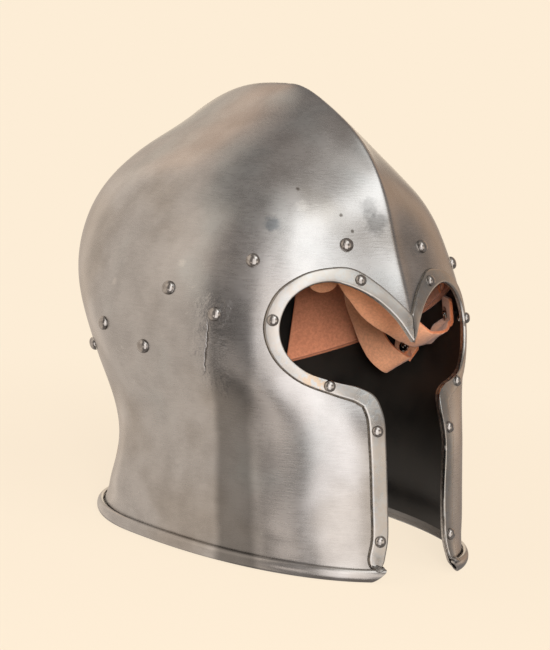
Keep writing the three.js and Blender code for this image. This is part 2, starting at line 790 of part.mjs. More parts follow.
function buckleFrame() {
  const half = buckleInside / 2 + buckleBar;
  const corners = [
    [-half, 0],
    [half, 0],
    [half, -buckleDrop],
    [-half, -buckleDrop],
  ].map(([along, up]) => barMiddle.clone().add(new THREE.Vector3(0, along, up)));
  let frame = ball(corners[0], buckleBar);
  corners.forEach((corner, i) => {
    frame = frame.add(ball(corner, buckleBar)).add(rod(corner, corners[(i + 1) % corners.length], buckleBar));
  });
  return frame;
}
addPiece("buckle_frame", toGeometry(buckleFrame()), rivetSteel);

// The prong's eye turns on the bar, and its tip rests on the frame
function buckleProng() {
  const inner = buckleBar + clearance;
  const outer = inner + prongRadius;
  const corners = [
    [inner, -prongRadius],
    [outer, -prongRadius],
    [outer, prongRadius],
    [inner, prongRadius],
    [inner, -prongRadius],
  ];
  const eye = new THREE.LatheGeometry(corners.map(([r, y]) => new THREE.Vector2(r, y)), rivetSides * 2);
  const root = barMiddle.clone().add(new THREE.Vector3(0, 0, -(inner + outer) / 2));
  const lift = buckleBar + prongRadius + clearance;
  const tip = barMiddle.clone().add(new THREE.Vector3(lift, 0, -buckleDrop - buckleBar));
  return toSolid(eye.translate(...barMiddle)).add(rod(root, tip, prongRadius));
}
addPiece("buckle_prong", toGeometry(buckleProng()), rivetSteel);

// The origin lies under the middle of the helmet's box, on the surface that the rim stands on
const bounds = new THREE.Box3().setFromObject(barbute);
barbute.position.y = -(bounds.min.y + bounds.max.y) / 2;

export default barbute;
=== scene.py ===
# The look of a barbute: a raised steel helmet with riveted trim, a leather liner and a chin strap
import math

import bmesh
import bpy
import numpy as np
from mathutils import Matrix, Vector
from mathutils.bvhtree import BVHTree


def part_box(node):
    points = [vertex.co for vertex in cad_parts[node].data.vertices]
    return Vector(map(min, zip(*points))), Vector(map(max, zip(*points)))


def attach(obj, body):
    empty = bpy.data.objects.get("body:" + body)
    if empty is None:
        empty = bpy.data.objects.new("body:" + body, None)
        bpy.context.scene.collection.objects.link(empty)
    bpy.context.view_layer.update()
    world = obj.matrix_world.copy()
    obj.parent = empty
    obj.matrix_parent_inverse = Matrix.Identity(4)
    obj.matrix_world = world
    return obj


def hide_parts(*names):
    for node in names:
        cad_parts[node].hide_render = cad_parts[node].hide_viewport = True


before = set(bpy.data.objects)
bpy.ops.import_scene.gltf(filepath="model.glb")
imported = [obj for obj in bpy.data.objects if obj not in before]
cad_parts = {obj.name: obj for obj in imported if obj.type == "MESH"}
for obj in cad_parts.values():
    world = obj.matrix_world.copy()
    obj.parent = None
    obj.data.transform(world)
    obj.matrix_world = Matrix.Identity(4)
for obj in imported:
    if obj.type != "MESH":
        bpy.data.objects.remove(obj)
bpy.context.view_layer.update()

# Driving dimensions of the shell, in metres
SHELL_HEIGHT = 0.258
HALF_WIDTH = 0.11
FRONT_REACH = 0.153
BACK_REACH = 0.129
SHEET = 0.0016
CLEARANCE = 0.0003
KEEL_HEIGHT = 0.0125
KEEL_SPREAD = 0.015
KEEL_CREST = 0.0016
KEEL_BLEND = 0.015

# The rolled rim
ROLL_INNER = 0.0022
ROLL_OUTER = ROLL_INNER + SHEET
ROLL_FLAT_ANGLE = math.radians(15)
ROLL_HEIGHT = ROLL_OUTER * math.cos(ROLL_FLAT_ANGLE)
ROLL_START = math.radians(190)
ROLL_END = math.radians(475)
ROLL_STEPS = 26
# So many steps before the roll's end, the bright outside gives way to the dark inside and its painted shade
ROLL_TUCK = 4
# The roll is pressed flat, so it stands out less than it is high, and the foot flares to meet it
ROLL_SQUASH = 0.62
FOOT_FLARE = 0.0014
FLARE_LEVELS = 1.3

# The face opening and its trim
OPENING_REACH = 0.0725
BROW_HEIGHT = 0.162
TRIM_WIDTH = 0.009
TRIM_SHEET = 0.0015

# Rivets
TRIM_HEAD_RADIUS = 0.0034
TRIM_HEAD_HEIGHT = 0.0024
LINER_HEAD_RADIUS = 0.0041
LINER_HEAD_HEIGHT = 0.003
TAIL_RADIUS = 0.0021
WASHER_RADIUS = 0.0042
WASHER_SHEET = 0.0008
# Room for the lobes between the headband and the washers
LINER_SLACK = 0.0008

# Leather
LINER_LEATHER = 0.0018
BAND_WIDTH = 0.019
STRAP_WIDTH = 0.02
STRAP_LEATHER = 0.002
STRAP_SEAT = 0.0034
LINER_LIFT = 0.012
LINER_SLOPE = 0.544
LINER_REACH_SHARE = 0.625
LINER_HEIGHT = BROW_HEIGHT + TRIM_WIDTH + LINER_LIFT - LINER_SLOPE * LINER_REACH_SHARE * FRONT_REACH

# How far the shell's own axis lies behind the frame's origin
AXIS_Y = 0.006907

# One row per level, from the crown to the rim: height, half width, reach to the front and to the
# back, keel at the front and back, and how square the section is at the front and back
LEVEL_SHARES = np.array([
    [1.0, 0.0, 0.0, 0.0, 1.0, 1.0, 2.0, 2.2],
    [0.979, 0.184, 0.19, 0.348, 0.735, 1.08, 2.08, 2.25],
    [0.895, 0.509, 0.391, 0.707, 0.986, 1.0, 1.97, 2.22],
    [0.795, 0.788, 0.56, 0.918, 0.641, 0.79, 2.06, 2.2],
    [0.678, 0.931, 0.657, 1.01, 0.534, 0.57, 2.21, 2.24],
    [0.547, 1.028, 0.759, 0.957, 0.517, 0.36, 2.12, 2.12],
    [0.419, 1.018, 0.791, 0.845, 0.722, 0.16, 2.22, 1.86],
    [0.314, 0.895, 0.88, 0.719, 0.295, 0.08, 2.24, 2.01],
    [0.194, 0.841, 0.916, 0.618, 0.0, 0.0, 2.41, 1.89],
    [0.093, 0.865, 0.944, 0.625, 0.0, 0.0, 2.32, 1.9],
    [0.047, 0.85, 0.958, 0.672, 0.0, 0.0, 2.32, 1.94],
    [0.0, 0.83, 0.975, 0.724, 0.0, 0.0, 2.3, 1.97],
])
LAST_LEVEL = len(LEVEL_SHARES) - 1

# The opening's edge on one side, from the nasal's tip round the eye and down the slot: shares of
# OPENING_REACH and BROW_HEIGHT, and the trim's width there as a share of TRIM_WIDTH
OPENING_SHARES = np.array([
    [0.0, 0.809, 1.05],
    [0.131, 0.893, 0.88],
    [0.283, 0.952, 0.95],
    [0.446, 0.987, 1.1],
    [0.607, 1.0, 0.76],
    [0.778, 0.98, 0.66],
    [0.924, 0.926, 0.68],
    [1.0, 0.833, 0.71],
    [0.96, 0.75, 0.7],
    [0.841, 0.695, 0.71],
    [0.634, 0.664, 0.78],
    [0.455, 0.647, 0.93],
    [0.348, 0.62, 1.08],
    [0.314, 0.568, 1.05],
    [0.321, 0.463, 1.01],
    [0.303, 0.278, 1.02],
    [0.309, 0.136, 0.98],
    [0.345, 0.07, 0.96],
    [0.4, 0.0, 0.96],
])

SIDES = (("left", 1), ("right", -1))

# Edges sharper than this stay hard, and on pieces drawn from a section or turned, this many times it
SHARP_ANGLE = math.radians(32)
SECTION_SHARP = 1.6
RIVET_SHARP = 1.4


# Small helpers

def smoothstep(low, high, value):
    t = np.clip((value - low) / (high - low), 0, 1)
    return t * t * (3 - 2 * t)


# Which knots each step of a Catmull-Rom point blends between
CURVE_SPANS = (((0, 1), (1, 2), (2, 3)), ((0, 2), (1, 3)), ((1, 2),))


def catmull_rom(points, per_segment):
    """A centripetal Catmull-Rom curve through points, as rows."""
    p = np.vstack([2 * points[0] - points[1], points, 2 * points[-1] - points[-2]])
    out = []
    for i in range(1, len(p) - 2):
        near = p[i - 1:i + 3]
        gaps = np.sqrt(np.maximum(np.linalg.norm(np.diff(near, axis=0), axis=1), 1e-9))
        knots = np.concatenate([[0], np.cumsum(gaps)])
        for k in knots[1] + gaps[1] * np.arange(per_segment) / per_segment:
            row = near
            for spans in CURVE_SPANS:
                row = [((knots[b] - k) * row[j] + (k - knots[a]) * row[j + 1]) / (knots[b] - knots[a])
                       for j, (a, b) in enumerate(spans)]
            out.append(row[0])
    out.append(p[-2])
    return np.array(out)


def run_along(points):
    """How far along a curve each of its points lies."""
    return np.concatenate([[0], np.cumsum(np.linalg.norm(np.diff(points, axis=0), axis=1))])


def at_runs(at, run, curve):
    """Every column of a curve at given distances along it."""
    return np.stack([np.interp(at, run, column) for column in curve.T], axis=1)


def even_steps(curve, steps, columns=2):
    """The same curve at even distances along its first columns."""
    run = run_along(curve[:, :columns])
    return at_runs(np.linspace(0, run[-1], steps + 1), run, curve)


def unit(vector):
    vector = np.asarray(vector, float)
    return vector / np.linalg.norm(vector, axis=-1, keepdims=True)


def add_object(name, data):
    made = bpy.data.objects.new(name, data)
    bpy.context.scene.collection.objects.link(made)
    return made


def make_object(name, verts, faces, materials, kinds=None):
    """A mesh whose faces point outwards; kinds number the material of each face."""
    mesh = bpy.data.meshes.new(name)
    mesh.from_pydata([tuple(v) for v in verts], [], faces)
    for material in materials:
        mesh.materials.append(material)
    if kinds is not None:
        mesh.polygons.foreach_set("material_index", kinds)
    face_outwards(mesh)
    return add_object(name, mesh)


def new_piece(name, verts, faces, materials, node, body="helmet", kinds=None,
              sharp=SECTION_SHARP):
    """A visible piece; its edges are hard from sharp times SHARP_ANGLE on, or all soft at 0."""
    piece = make_object(name, verts, faces, materials, kinds)
    piece.data.shade_smooth()
    if sharp:
        piece.data.set_sharp_from_angle(angle=SHARP_ANGLE * sharp)
    finish_piece(piece, node, body)
    return piece


def finish_piece(piece, node, body="helmet"):
    if node:
        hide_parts(node)
    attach(piece, body)


def cut_from(piece, cutter):
    """Takes the cutter's solid out of a piece, and removes the cutter."""
    cut = piece.modifiers.new("cut", "BOOLEAN")
    cut.object = cutter
    cut.operation = "DIFFERENCE"
    cut.solver = "EXACT"
    bpy.context.view_layer.update()
    graph = bpy.context.evaluated_depsgraph_get()
    result = bpy.data.meshes.new_from_object(piece.evaluated_get(graph))
    piece.modifiers.clear()
    old = piece.data
    piece.data = result
    bpy.data.meshes.remove(old)
    bpy.data.objects.remove(cutter)
    result.shade_smooth()
    result.set_sharp_from_angle(angle=SHARP_ANGLE)


def face_outwards(mesh):
    """Turns a closed mesh's faces to point out of it."""
    shape = bmesh.new()
    shape.from_mesh(mesh)
    bmesh.ops.recalc_face_normals(shape, faces=shape.faces)
    shape.to_mesh(mesh)
    shape.free()


def grid_faces(rows, columns, wrap_rows=False, wrap_columns=False):
    """Quads over a grid of rows by columns."""
    faces = []
    for r in range(rows if wrap_rows else rows - 1):
        here = r * columns
        other = (r + 1) % rows * columns
        for c in range(columns if wrap_columns else columns - 1):
            after = (c + 1) % columns
            faces.append((here + c, here + after, other + after, other + c))
    return faces


def band_faces(rows, count):
    """The faces of a closed section drawn along rows, with its two ends."""
    last = (rows - 1) * count
    ends = [tuple(range(count)), tuple(range(last, last + count))]
    return grid_faces(rows, count, wrap_columns=True) + ends


# The shell's surface

SPLINE_LEAD = 3


def level_spline():
    """Second derivatives of a natural cubic spline through the levels, mirrored above the crown."""
    mirror = np.array([1, -1, -1, -1, 1, 1, 1, 1])
    rows = np.vstack([LEVEL_SHARES[SPLINE_LEAD:0:-1] * mirror, LEVEL_SHARES])
    count = len(rows)
    system = np.eye(count)
    right = np.zeros_like(rows)
    for i in range(1, count - 1):
        system[i, i - 1:i + 2] = (1, 4, 1)
        right[i] = 6 * (rows[i - 1] - 2 * rows[i] + rows[i + 1])
    return rows, np.linalg.solve(system, right)


SPLINE_ROWS, SPLINE_BENDS = level_spline()


def level_values(level):
    """The columns of LEVEL_SHARES at any level, whole or between."""
    place = np.clip(level, 0, LAST_LEVEL) + SPLINE_LEAD
    i = np.minimum(place.astype(int), len(SPLINE_ROWS) - 2)
    t = (place - i)[..., None]
    s = 1 - t
    low, high = SPLINE_ROWS[i], SPLINE_ROWS[i + 1]
    bend_low, bend_high = SPLINE_BENDS[i], SPLINE_BENDS[i + 1]
    return s * low + t * high + ((s ** 3 - s) * bend_low + (t ** 3 - t) * bend_high) / 6


# A small step of a level or a turn, and how many levels above the foot the wall turns upright
SMALL_STEP = 1e-3
UPRIGHT_LEVELS = 0.4


def signed_power(value, power):
    return np.sign(value) * np.abs(value) ** power


def bowl(level, turn):
    """Points of the bowl without its keel, about its own axis; a turn of 0 is the front."""
    values = level_values(level)
    height, side, front, back = (values[..., k] for k in range(4))
    ahead = np.cos(turn) > 0
    square = 2 / np.where(ahead, values[..., 6], values[..., 7])
    reach = np.where(ahead, front * FRONT_REACH, back * BACK_REACH)
    x = side * HALF_WIDTH * signed_power(np.sin(turn), square)
    y = -reach * signed_power(np.cos(turn), square)
    z = ROLL_HEIGHT + height * (SHELL_HEIGHT - ROLL_HEIGHT)
    return np.stack([x, y, z], axis=-1)


def bowl_normal(level, turn):
    step = SMALL_STEP
    down = bowl(np.minimum(level + step, LAST_LEVEL), turn) - bowl(np.maximum(level - step, 0), turn)
    around = bowl(level, turn + step) - bowl(level, turn - step)
    normal = np.cross(down, around)
    flat = smoothstep(LAST_LEVEL, LAST_LEVEL - UPRIGHT_LEVELS, level)
    normal[..., 2] *= flat
    return unit(normal)


def skin(level, turn, offset):
    """Points of the shell's skin, moved out by an offset."""
    level, turn = np.broadcast_arrays(np.asarray(level, float), np.asarray(turn, float))
    level = np.maximum(level, SMALL_STEP)
    values = level_values(level)
    points = bowl(level, turn)
    normals = bowl_normal(level, turn)
    front = (1 - np.tanh(points[..., 1] / KEEL_BLEND)) / 2
    keel = KEEL_HEIGHT * (values[..., 4] * front + values[..., 5] * (1 - front))
    away = np.hypot(points[..., 0], KEEL_CREST) - KEEL_CREST
    flare = FOOT_FLARE * np.clip(1 - (LAST_LEVEL - level) / FLARE_LEVELS, 0, 1) ** 2
    rise = keel * np.exp(-away / KEEL_SPREAD) + flare + offset
    points = points + normals * rise[..., None]
    points[..., 1] += AXIS_Y
    return points


def roll_points(turn, radius, angles):
    """Rings about the middle of the rim's roll, one row per turn."""
    foot = skin(np.full_like(turn, LAST_LEVEL), turn, 0)
    out = bowl_normal(np.full_like(turn, LAST_LEVEL), turn)
    centre = foot + out * ROLL_INNER * ROLL_SQUASH
    c = np.cos(angles)[None, :, None] * ROLL_SQUASH
    points = centre[:, None, :] + out[:, None, :] * c * radius
    points[..., 2] += np.sin(angles)[None, :] * radius
    return points


# The turns lie closest together at the keel, by this growth
TURNS_PER_QUARTER = 84
TURN_GROWTH = 2.7
ROWS_PER_LEVEL = 11


def quarter_turns():
    u = np.arange(TURNS_PER_QUARTER) / TURNS_PER_QUARTER
    return (np.exp(TURN_GROWTH * u) - 1) / (math.exp(TURN_GROWTH) - 1) * math.pi / 2


def all_turns():
    q = quarter_turns()
    half = np.concatenate([q, [math.pi / 2], math.pi - q[:0:-1]])
    return np.concatenate([half, [math.pi], 2 * math.pi - half[:0:-1]])


# How uneven the hammered shell is: heights and widths of its waves
WAVE_HEIGHTS = (0.00013, 0.00003)
WAVE_WIDTHS = (0.05, 0.018)
WAVE_STRETCH = (0.7, 1.4)
WAVES = 7
WAVE_SEED = 7


def wave(points):
    """Slow unevenness of a raised sheet, as sums of sines along tilted directions."""
    rng = np.random.default_rng(WAVE_SEED)
    total = np.zeros(points.shape[:-1])
    for height, width in zip(WAVE_HEIGHTS, WAVE_WIDTHS):
        for _ in range(WAVES):
            way = unit(rng.normal(size=3))
            phase = rng.uniform(0, 2 * math.pi)
            stretch = rng.uniform(*WAVE_STRETCH)
            total += height / 3 * np.sin(points @ way * 2 * math.pi / (width * stretch) + phase)
    return total


def skull_mesh():
    """The shell: each turn's column runs down outside, round the roll and up inside."""
    turns = all_turns()
    levels = np.linspace(0, LAST_LEVEL, LAST_LEVEL * ROWS_PER_LEVEL + 1)[1:]
    grid_level, grid_turn = np.meshgrid(levels, turns)
    base = skin(grid_level, grid_turn, 0)
    fade = smoothstep(LAST_LEVEL, LAST_LEVEL - 1, grid_level)
    waves = wave(base) * fade
    outer = skin(grid_level, grid_turn, waves)
    inner = skin(grid_level, grid_turn, waves - SHEET)[:, ::-1]
    angles = np.linspace(ROLL_START, ROLL_END, ROLL_STEPS)
    roll_in = roll_points(turns, ROLL_INNER, angles)
    roll_out = roll_points(turns, ROLL_OUTER, angles)[:, ::-1]
    roll_out[..., 2] = np.maximum(roll_out[..., 2], 0)
    columns = np.concatenate([outer, roll_in, roll_out, inner], axis=1)
    outside = len(levels) + 2 * ROLL_STEPS - ROLL_TUCK
    return close_crown(columns, outside)


def close_crown(columns, outside):
    """Points, faces and kinds of the columns, closed at the crown outside and inside."""
    rows, count = columns.shape[:2]
    verts = columns.reshape(-1, 3)
    faces = grid_faces(rows, count, wrap_rows=True)
    kinds = ([0] * outside + [1] * (count - 1 - outside)) * rows
    tops = skin(np.zeros(2), np.zeros(2), np.array([0, -SHEET]))
    tops[:, :2] = (0, AXIS_Y)
    top = len(verts)
    verts = np.vstack([verts, tops])
    for r in range(rows):
        here = r * count
        other = (r + 1) % rows * count
        faces.append((top, here, other))
        faces.append((top + 1, other + count - 1, here + count - 1))
        kinds += [0, 1]
    return verts, faces, kinds


CURVE_STEPS = 24
OPENING_STEPS = 260
# The roll's ends are cut at a slant below the trim
BEVEL_TOP = 0.0062
BEVEL_SLOPE = 0.8


def opening_curve():
    scale = np.array([OPENING_REACH, BROW_HEIGHT, TRIM_WIDTH])
    return even_steps(catmull_rom(OPENING_SHARES * scale, CURVE_STEPS), OPENING_STEPS)


OPENING = opening_curve()
FACE_DEPTH = FRONT_REACH + ROLL_OUTER * 2 - AXIS_Y
FACE_BACK = OPENING_REACH - TRIM_WIDTH - AXIS_Y


def opening_cutter():
    """The opening's outline, drawn from before the face to behind the trim."""
    foot = np.array([[OPENING[-1, 0], -ROLL_OUTER]])
    left = np.vstack([OPENING[:, :2], foot])
    left[:, 0] += np.clip(BEVEL_TOP - left[:, 1], 0, None) * BEVEL_SLOPE
    right = left[:0:-1] * (-1, 1)
    outline = np.vstack([left, right])
    count = len(outline)
    verts = [(x, -FACE_DEPTH, z) for x, z in outline] + [(x, -FACE_BACK, z) for x, z in outline]
    faces = [tuple(range(count)), tuple(range(2 * count - 1, count - 1, -1))]
    faces += grid_faces(2, count, wrap_columns=True)
    return make_object("opening_cutter", verts, faces, [EDGE] * 3, [2] * len(faces))


# Materials

# Which sockets of the mix node carry its factor and its colors
MIX_COLOR_INPUTS = (0, 6, 7)
MIX_COLOR_OUTPUT = 2

# How far a blot's edge strays and how soft it is, as shares of its radius, and how fine its noise is
BLOT_RAGGED = 1.6
BLOT_SOFT = 0.9
BLOT_GRAIN = 1.5


class Nodes:
    """Builds the nodes of a material, or of the world's tree, in few words."""

    def __init__(self, name, tree=None):
        self.tree = tree
        if tree is None:
            self.material = bpy.data.materials.new(name)
            self.material.use_nodes = True
            self.tree = self.material.node_tree
            self.shader = self.tree.nodes["Principled BSDF"]

    def add(self, kind, **settings):
        node = self.tree.nodes.new(kind)
        for key, value in settings.items():
            setattr(node, key, value)
        return node

    def feed(self, node, **values):
        """Links outputs to a node's sockets, or sets them to numbers or colors; _ stands for a space."""
        for key, value in values.items():
            self.link(value, node.inputs[key.replace("_", " ")])

    def link(self, source, target):
        if isinstance(source, (int, float)):
            target.default_value = source
        elif isinstance(source, tuple):
            target.default_value = (*source, 1)
        else:
            self.tree.links.new(source, target)

    def place(self):
        return self.add("ShaderNodeTexCoord").outputs["Object"]

    def parts(self, vector=None):
        """X, Y and Z of a vector, or of the place on the object."""
        node = self.add("ShaderNodeSeparateXYZ")
        self.link(vector or self.place(), node.inputs[0])
        return tuple(node.outputs)

    def noise(self, scale, detail, rough, vector=None):
        """Noise from 0 to 1: how many blots to a metre, how many finer layers, and how strong those are."""
        node = self.add("ShaderNodeTexNoise")
        self.feed(node, Scale=scale, Detail=detail, Roughness=rough, Vector=vector or self.place())
        return node.outputs["Fac"]

    def uneven(self, size, *noise):
        """Noise about 0, which spans a size."""
        return self.times(self.math("SUBTRACT", self.noise(*noise), 0.5), size)

    def ramp(self, fac, *stops):
        """Colors or greys eased between stops of (place, color)."""
        node = self.add("ShaderNodeValToRGB")
        node.color_ramp.interpolation = "EASE"
        elements = node.color_ramp.elements
        while len(elements) < len(stops):
            elements.new(0.5)
        for element, (at, color) in zip(elements, stops):
            element.position = at
            element.color = (*color, 1) if isinstance(color, tuple) else (color, color, color, 1)
        self.link(fac, node.inputs["Fac"])
        return node.outputs["Color"]

    def math(self, operation, *values):
        node = self.add("ShaderNodeMath", operation=operation)
        for value, socket in zip(values, node.inputs):
            self.link(value, socket)
        return node.outputs[0]

    def times(self, a, b):
        return self.math("MULTIPLY", a, b)

    def plus(self, a, b):
        return self.math("ADD", a, b)

    def mix(self, fac, a, b, blend="MIX"):
        node = self.add("ShaderNodeMix", data_type="RGBA", blend_type=blend)
        for value, place in zip((fac, a, b), MIX_COLOR_INPUTS):
            self.link(value, node.inputs[place])
        return node.outputs[MIX_COLOR_OUTPUT]

    def fade(self, value, start, end, first=1.0, last=0.0):
        """Goes softly from a first to a last number while the value goes from a start to an end."""
        node = self.add("ShaderNodeMapRange", interpolation_type="SMOOTHSTEP")
        self.feed(node, Value=value, From_Min=start, From_Max=end, To_Min=first, To_Max=last)
        return node.outputs[0]

    def window(self, value, half, soft):
        """1 where a value's size is below a half width, and 0 beyond, with a soft edge."""
        return self.fade(self.math("ABSOLUTE", value), half - soft / 2, half + soft / 2)

    def blot(self, centre, radius):
        """1 within a radius of a spot and 0 beyond, with a ragged edge."""
        away = self.add("ShaderNodeVectorMath", operation="DISTANCE")
        self.link(self.place(), away.inputs[0])
        away.inputs[1].default_value = centre
        ragged = self.uneven(radius * BLOT_RAGGED, BLOT_GRAIN / radius, 3, 0.6)
        return self.window(self.plus(away.outputs["Value"], ragged), radius, radius * BLOT_SOFT)

    def stretch(self, scale):
        """The place on the object, stretched by a scale."""
        node = self.add("ShaderNodeMapping")
        node.inputs["Scale"].default_value = scale
        self.link(self.place(), node.inputs["Vector"])
        return node.outputs["Vector"]

    def around(self, scale_round, scale_up):
        """Coordinates that run round the head's axis and up it, for lines brushed round the shell."""
        x, y, z = self.parts()
        merge = self.add("ShaderNodeCombineXYZ")
        turn = self.math("ARCTAN2", x, y)
        self.feed(merge, X=self.times(turn, scale_round), Y=self.times(z, scale_up))
        return merge.outputs[0]

    def bearing(self, x, y):
        """Degrees from the front towards the wearer's left."""
        return self.math("DEGREES", self.math("ARCTAN2", x, self.times(y, -1.0)))

    def bump(self, height, strength, distance, normal=None):
        """Bumps up to a distance in metres, on top of those of another normal."""
        node = self.add("ShaderNodeBump")
        self.feed(node, Height=height, Strength=strength, Distance=distance)
        if normal:
            self.link(normal, node.inputs["Normal"])
        return node.outputs["Normal"]

    def blend(self, share, first, second, output):
        """Mixes two shaders into the tree's output."""
        node = self.add("ShaderNodeMixShader")
        for value, socket in zip((share, first, second), node.inputs):
            self.link(value, socket)
        self.link(node.outputs[0], self.tree.nodes[output].inputs["Surface"])

    def set(self, **values):
        self.feed(self.shader, **values)
        return self.material


# The steel, and below it each other material: each noise as its scale, layers and roughness, each
# ramp's stops, each bump's strength and depth in metres, and what the noises add to a roughness
STEEL_PATCHES = (14, 3, 0.5)
STEEL_TINTS = ((0.32, (0.5, 0.475, 0.45)), (0.5, (0.56, 0.55, 0.545)), (0.68, (0.53, 0.55, 0.555)))
STEEL_CLOUDS = (55, 4, 0.6)
CLOUD_TINTS = ((0.3, 0.86), (0.7, 1.02))
BRUSHING = (1, 3, 0.6)
BRUSH_SCALES = (14, 900)
BRUSH_TINTS = ((0.35, 0.93), (0.65, 1.0))
BRUSH_BUMP = (0.12, 0.0004)
STEEL_GRAIN = (1500, 2, 0.5)
STEEL_GRAIN_BUMP = (0.06, 0.0003)
STEEL_ROUGHNESS = 0.165
CLOUD_ROUGHNESS = 0.1
BRUSH_ROUGHNESS = 0.12
# Scratches are many across the head and few along it, and show only here and there
SCRATCHES = (1, 2, 0.5)
SCRATCH_STRETCH = (260.0, 45.0, 110.0)
SCRATCH_PLACES = (30, 3, 0.6)
SCRATCH_SHOWS = ((0.52, 0.0), (0.66, 0.5))
SCRATCH_HALF = 0.004
SCRATCH_SOFT = 0.006
SCRATCH_COLOR = (0.7, 0.69, 0.67)
# Marks on the steel: where, how far they reach, and how they tint it
STEEL_MARKS = (
    ("blue smudge", (-0.066, -0.065, 0.191), 0.0042, (0.6, 0.64, 0.68)),
    ("scraped patch", (-0.0486, -0.0687, 0.2024), 0.0036, (1.2, 1.2, 1.19)),
    ("speck by the scrape", (-0.0462, -0.0615, 0.2112), 0.0011, (0.4, 0.37, 0.35)),
    ("speck on the brow", (-0.0288, -0.0808, 0.1987), 0.001, (0.35, 0.33, 0.31)),
    ("speck by the keel", (-0.0243, -0.0866, 0.1902), 0.001, (0.35, 0.33, 0.31)),
    ("dark patch by the keel", (-0.0086, -0.0891, 0.1957), 0.0065, (0.6, 0.6, 0.6)),
    ("dark patch above it", (-0.0105, -0.084, 0.204), 0.005, (0.72, 0.72, 0.72)),
    ("pale scratch", (-0.1014, -0.0315, 0.1645), 0.0022, (1.18, 1.17, 1.15)),
    ("pale scratch behind", (-0.1118, 0.0172, 0.1476), 0.002, (1.18, 1.17, 1.15)),
    ("rust at the neck", (-0.081, 0.0431, 0.0407), 0.0035, (0.75, 0.55, 0.4)),
)
# A painted reflection: a dark streak down the near side, where the steel mirrors a dark part of the room,
# painted into its colour: degrees back from the front at the foot, and how many degrees it leans per metre
# of height, then half its width, its soft edge and how far it strays, in degrees, and the height at which
# it fades, with the reach and softness of that
PAINTED_REFLECTION_FOOT = 46.5
PAINTED_REFLECTION_LEAN = 55.0
PAINTED_REFLECTION_HALF = 6.0
PAINTED_REFLECTION_SOFT = 3.5
PAINTED_REFLECTION_STRAYS = 5.0
PAINTED_REFLECTION_NOISE = (22, 3, 0.6)
PAINTED_REFLECTION_TOP = 0.13
PAINTED_REFLECTION_FADE = (0.02, 0.04)
PAINTED_REFLECTION_STRENGTH = 0.5
PAINTED_REFLECTION_COLOR = (0.03, 0.03, 0.03)
# A crack behind it, in the same measures
CRACK_BEARING = 60.0
CRACK_HALF = 0.22
CRACK_STRAYS = 2.4
CRACK_NOISE = (120, 3, 0.6)
CRACK_BUMP = (0.6, 0.0005)
CRACK_MIDDLE = 0.12
CRACK_REACH = 0.014
CRACK_FADE = 0.006
CRACK_STRENGTH = 0.7
CRACK_COLOR = (0.06, 0.05, 0.045)
# The rough patch that the crack runs through
ROUGH_PATCH = ((-0.0985, -0.0579, 0.1404), (-0.098, -0.058, 0.122), (-0.0955, -0.058, 0.104))
ROUGH_PATCH_REACH = 0.0095
DENTS = (420, 3, 0.65)
DENT_BUMP = (0.5, 0.0007)


def painted_reflection_and_crack(n, color):
    """Draws a painted reflection, a dark streak, and the crack into a color; also gives where the crack and
    the rough patch are.
    """
    x, y, z = n.parts()
    back = n.bearing(x, y)
    line = n.plus(back, n.times(z, PAINTED_REFLECTION_LEAN))
    off = n.plus(line, n.plus(n.uneven(PAINTED_REFLECTION_STRAYS, *PAINTED_REFLECTION_NOISE), PAINTED_REFLECTION_FOOT))
    above = n.math("MAXIMUM", n.math("SUBTRACT", z, PAINTED_REFLECTION_TOP), 0.0)
    # Painted reflection: the colour is darkened along a streak where the steel mirrors a dark part of the
    # room
    painted_reflection = n.times(n.window(off, PAINTED_REFLECTION_HALF, PAINTED_REFLECTION_SOFT), n.window(above, *PAINTED_REFLECTION_FADE))
    color = n.mix(n.times(painted_reflection, PAINTED_REFLECTION_STRENGTH), color, PAINTED_REFLECTION_COLOR)
    off = n.plus(n.plus(back, CRACK_BEARING), n.uneven(CRACK_STRAYS, *CRACK_NOISE))
    rise = n.math("SUBTRACT", z, CRACK_MIDDLE)
    crack = n.times(n.window(off, CRACK_HALF, CRACK_HALF), n.window(rise, CRACK_REACH, CRACK_FADE))
    color = n.mix(n.times(crack, CRACK_STRENGTH), color, CRACK_COLOR)
    rough = 0.0
    for centre in ROUGH_PATCH:
        rough = n.math("MAXIMUM", rough, n.blot(centre, ROUGH_PATCH_REACH))
    return color, crack, rough


def steel_material():
    n = Nodes("raised_steel")
    clouds = n.noise(*STEEL_CLOUDS)
    brushed = n.noise(*BRUSHING, n.around(*BRUSH_SCALES))
    color = n.ramp(n.noise(*STEEL_PATCHES), *STEEL_TINTS)
    color = n.mix(1.0, color, n.ramp(clouds, *CLOUD_TINTS), "MULTIPLY")
    color = n.mix(1.0, color, n.ramp(brushed, *BRUSH_TINTS), "MULTIPLY")
    scratch = n.uneven(1.0, *SCRATCHES, n.stretch(SCRATCH_STRETCH))
    few = n.ramp(n.noise(*SCRATCH_PLACES), *SCRATCH_SHOWS)
    scratches = n.times(n.window(scratch, SCRATCH_HALF, SCRATCH_SOFT), few)
    color = n.mix(scratches, color, SCRATCH_COLOR)
    for _, centre, reach, light in STEEL_MARKS:
        color = n.mix(n.blot(centre, reach), color, light, "MULTIPLY")
    color, crack, patch = painted_reflection_and_crack(n, color)
    rough = n.plus(n.times(clouds, CLOUD_ROUGHNESS), n.times(brushed, BRUSH_ROUGHNESS))
    rough = n.plus(rough, STEEL_ROUGHNESS)
    grain = n.bump(brushed, *BRUSH_BUMP)
    grain = n.bump(n.noise(*STEEL_GRAIN), *STEEL_GRAIN_BUMP, grain)
    grain = n.bump(n.times(n.noise(*DENTS), patch), *DENT_BUMP, grain)
    grain = n.bump(n.math("SUBTRACT", 1.0, crack), *CRACK_BUMP, grain)
    return n.set(Base_Color=color, Metallic=1.0, Roughness=rough, Normal=grain)


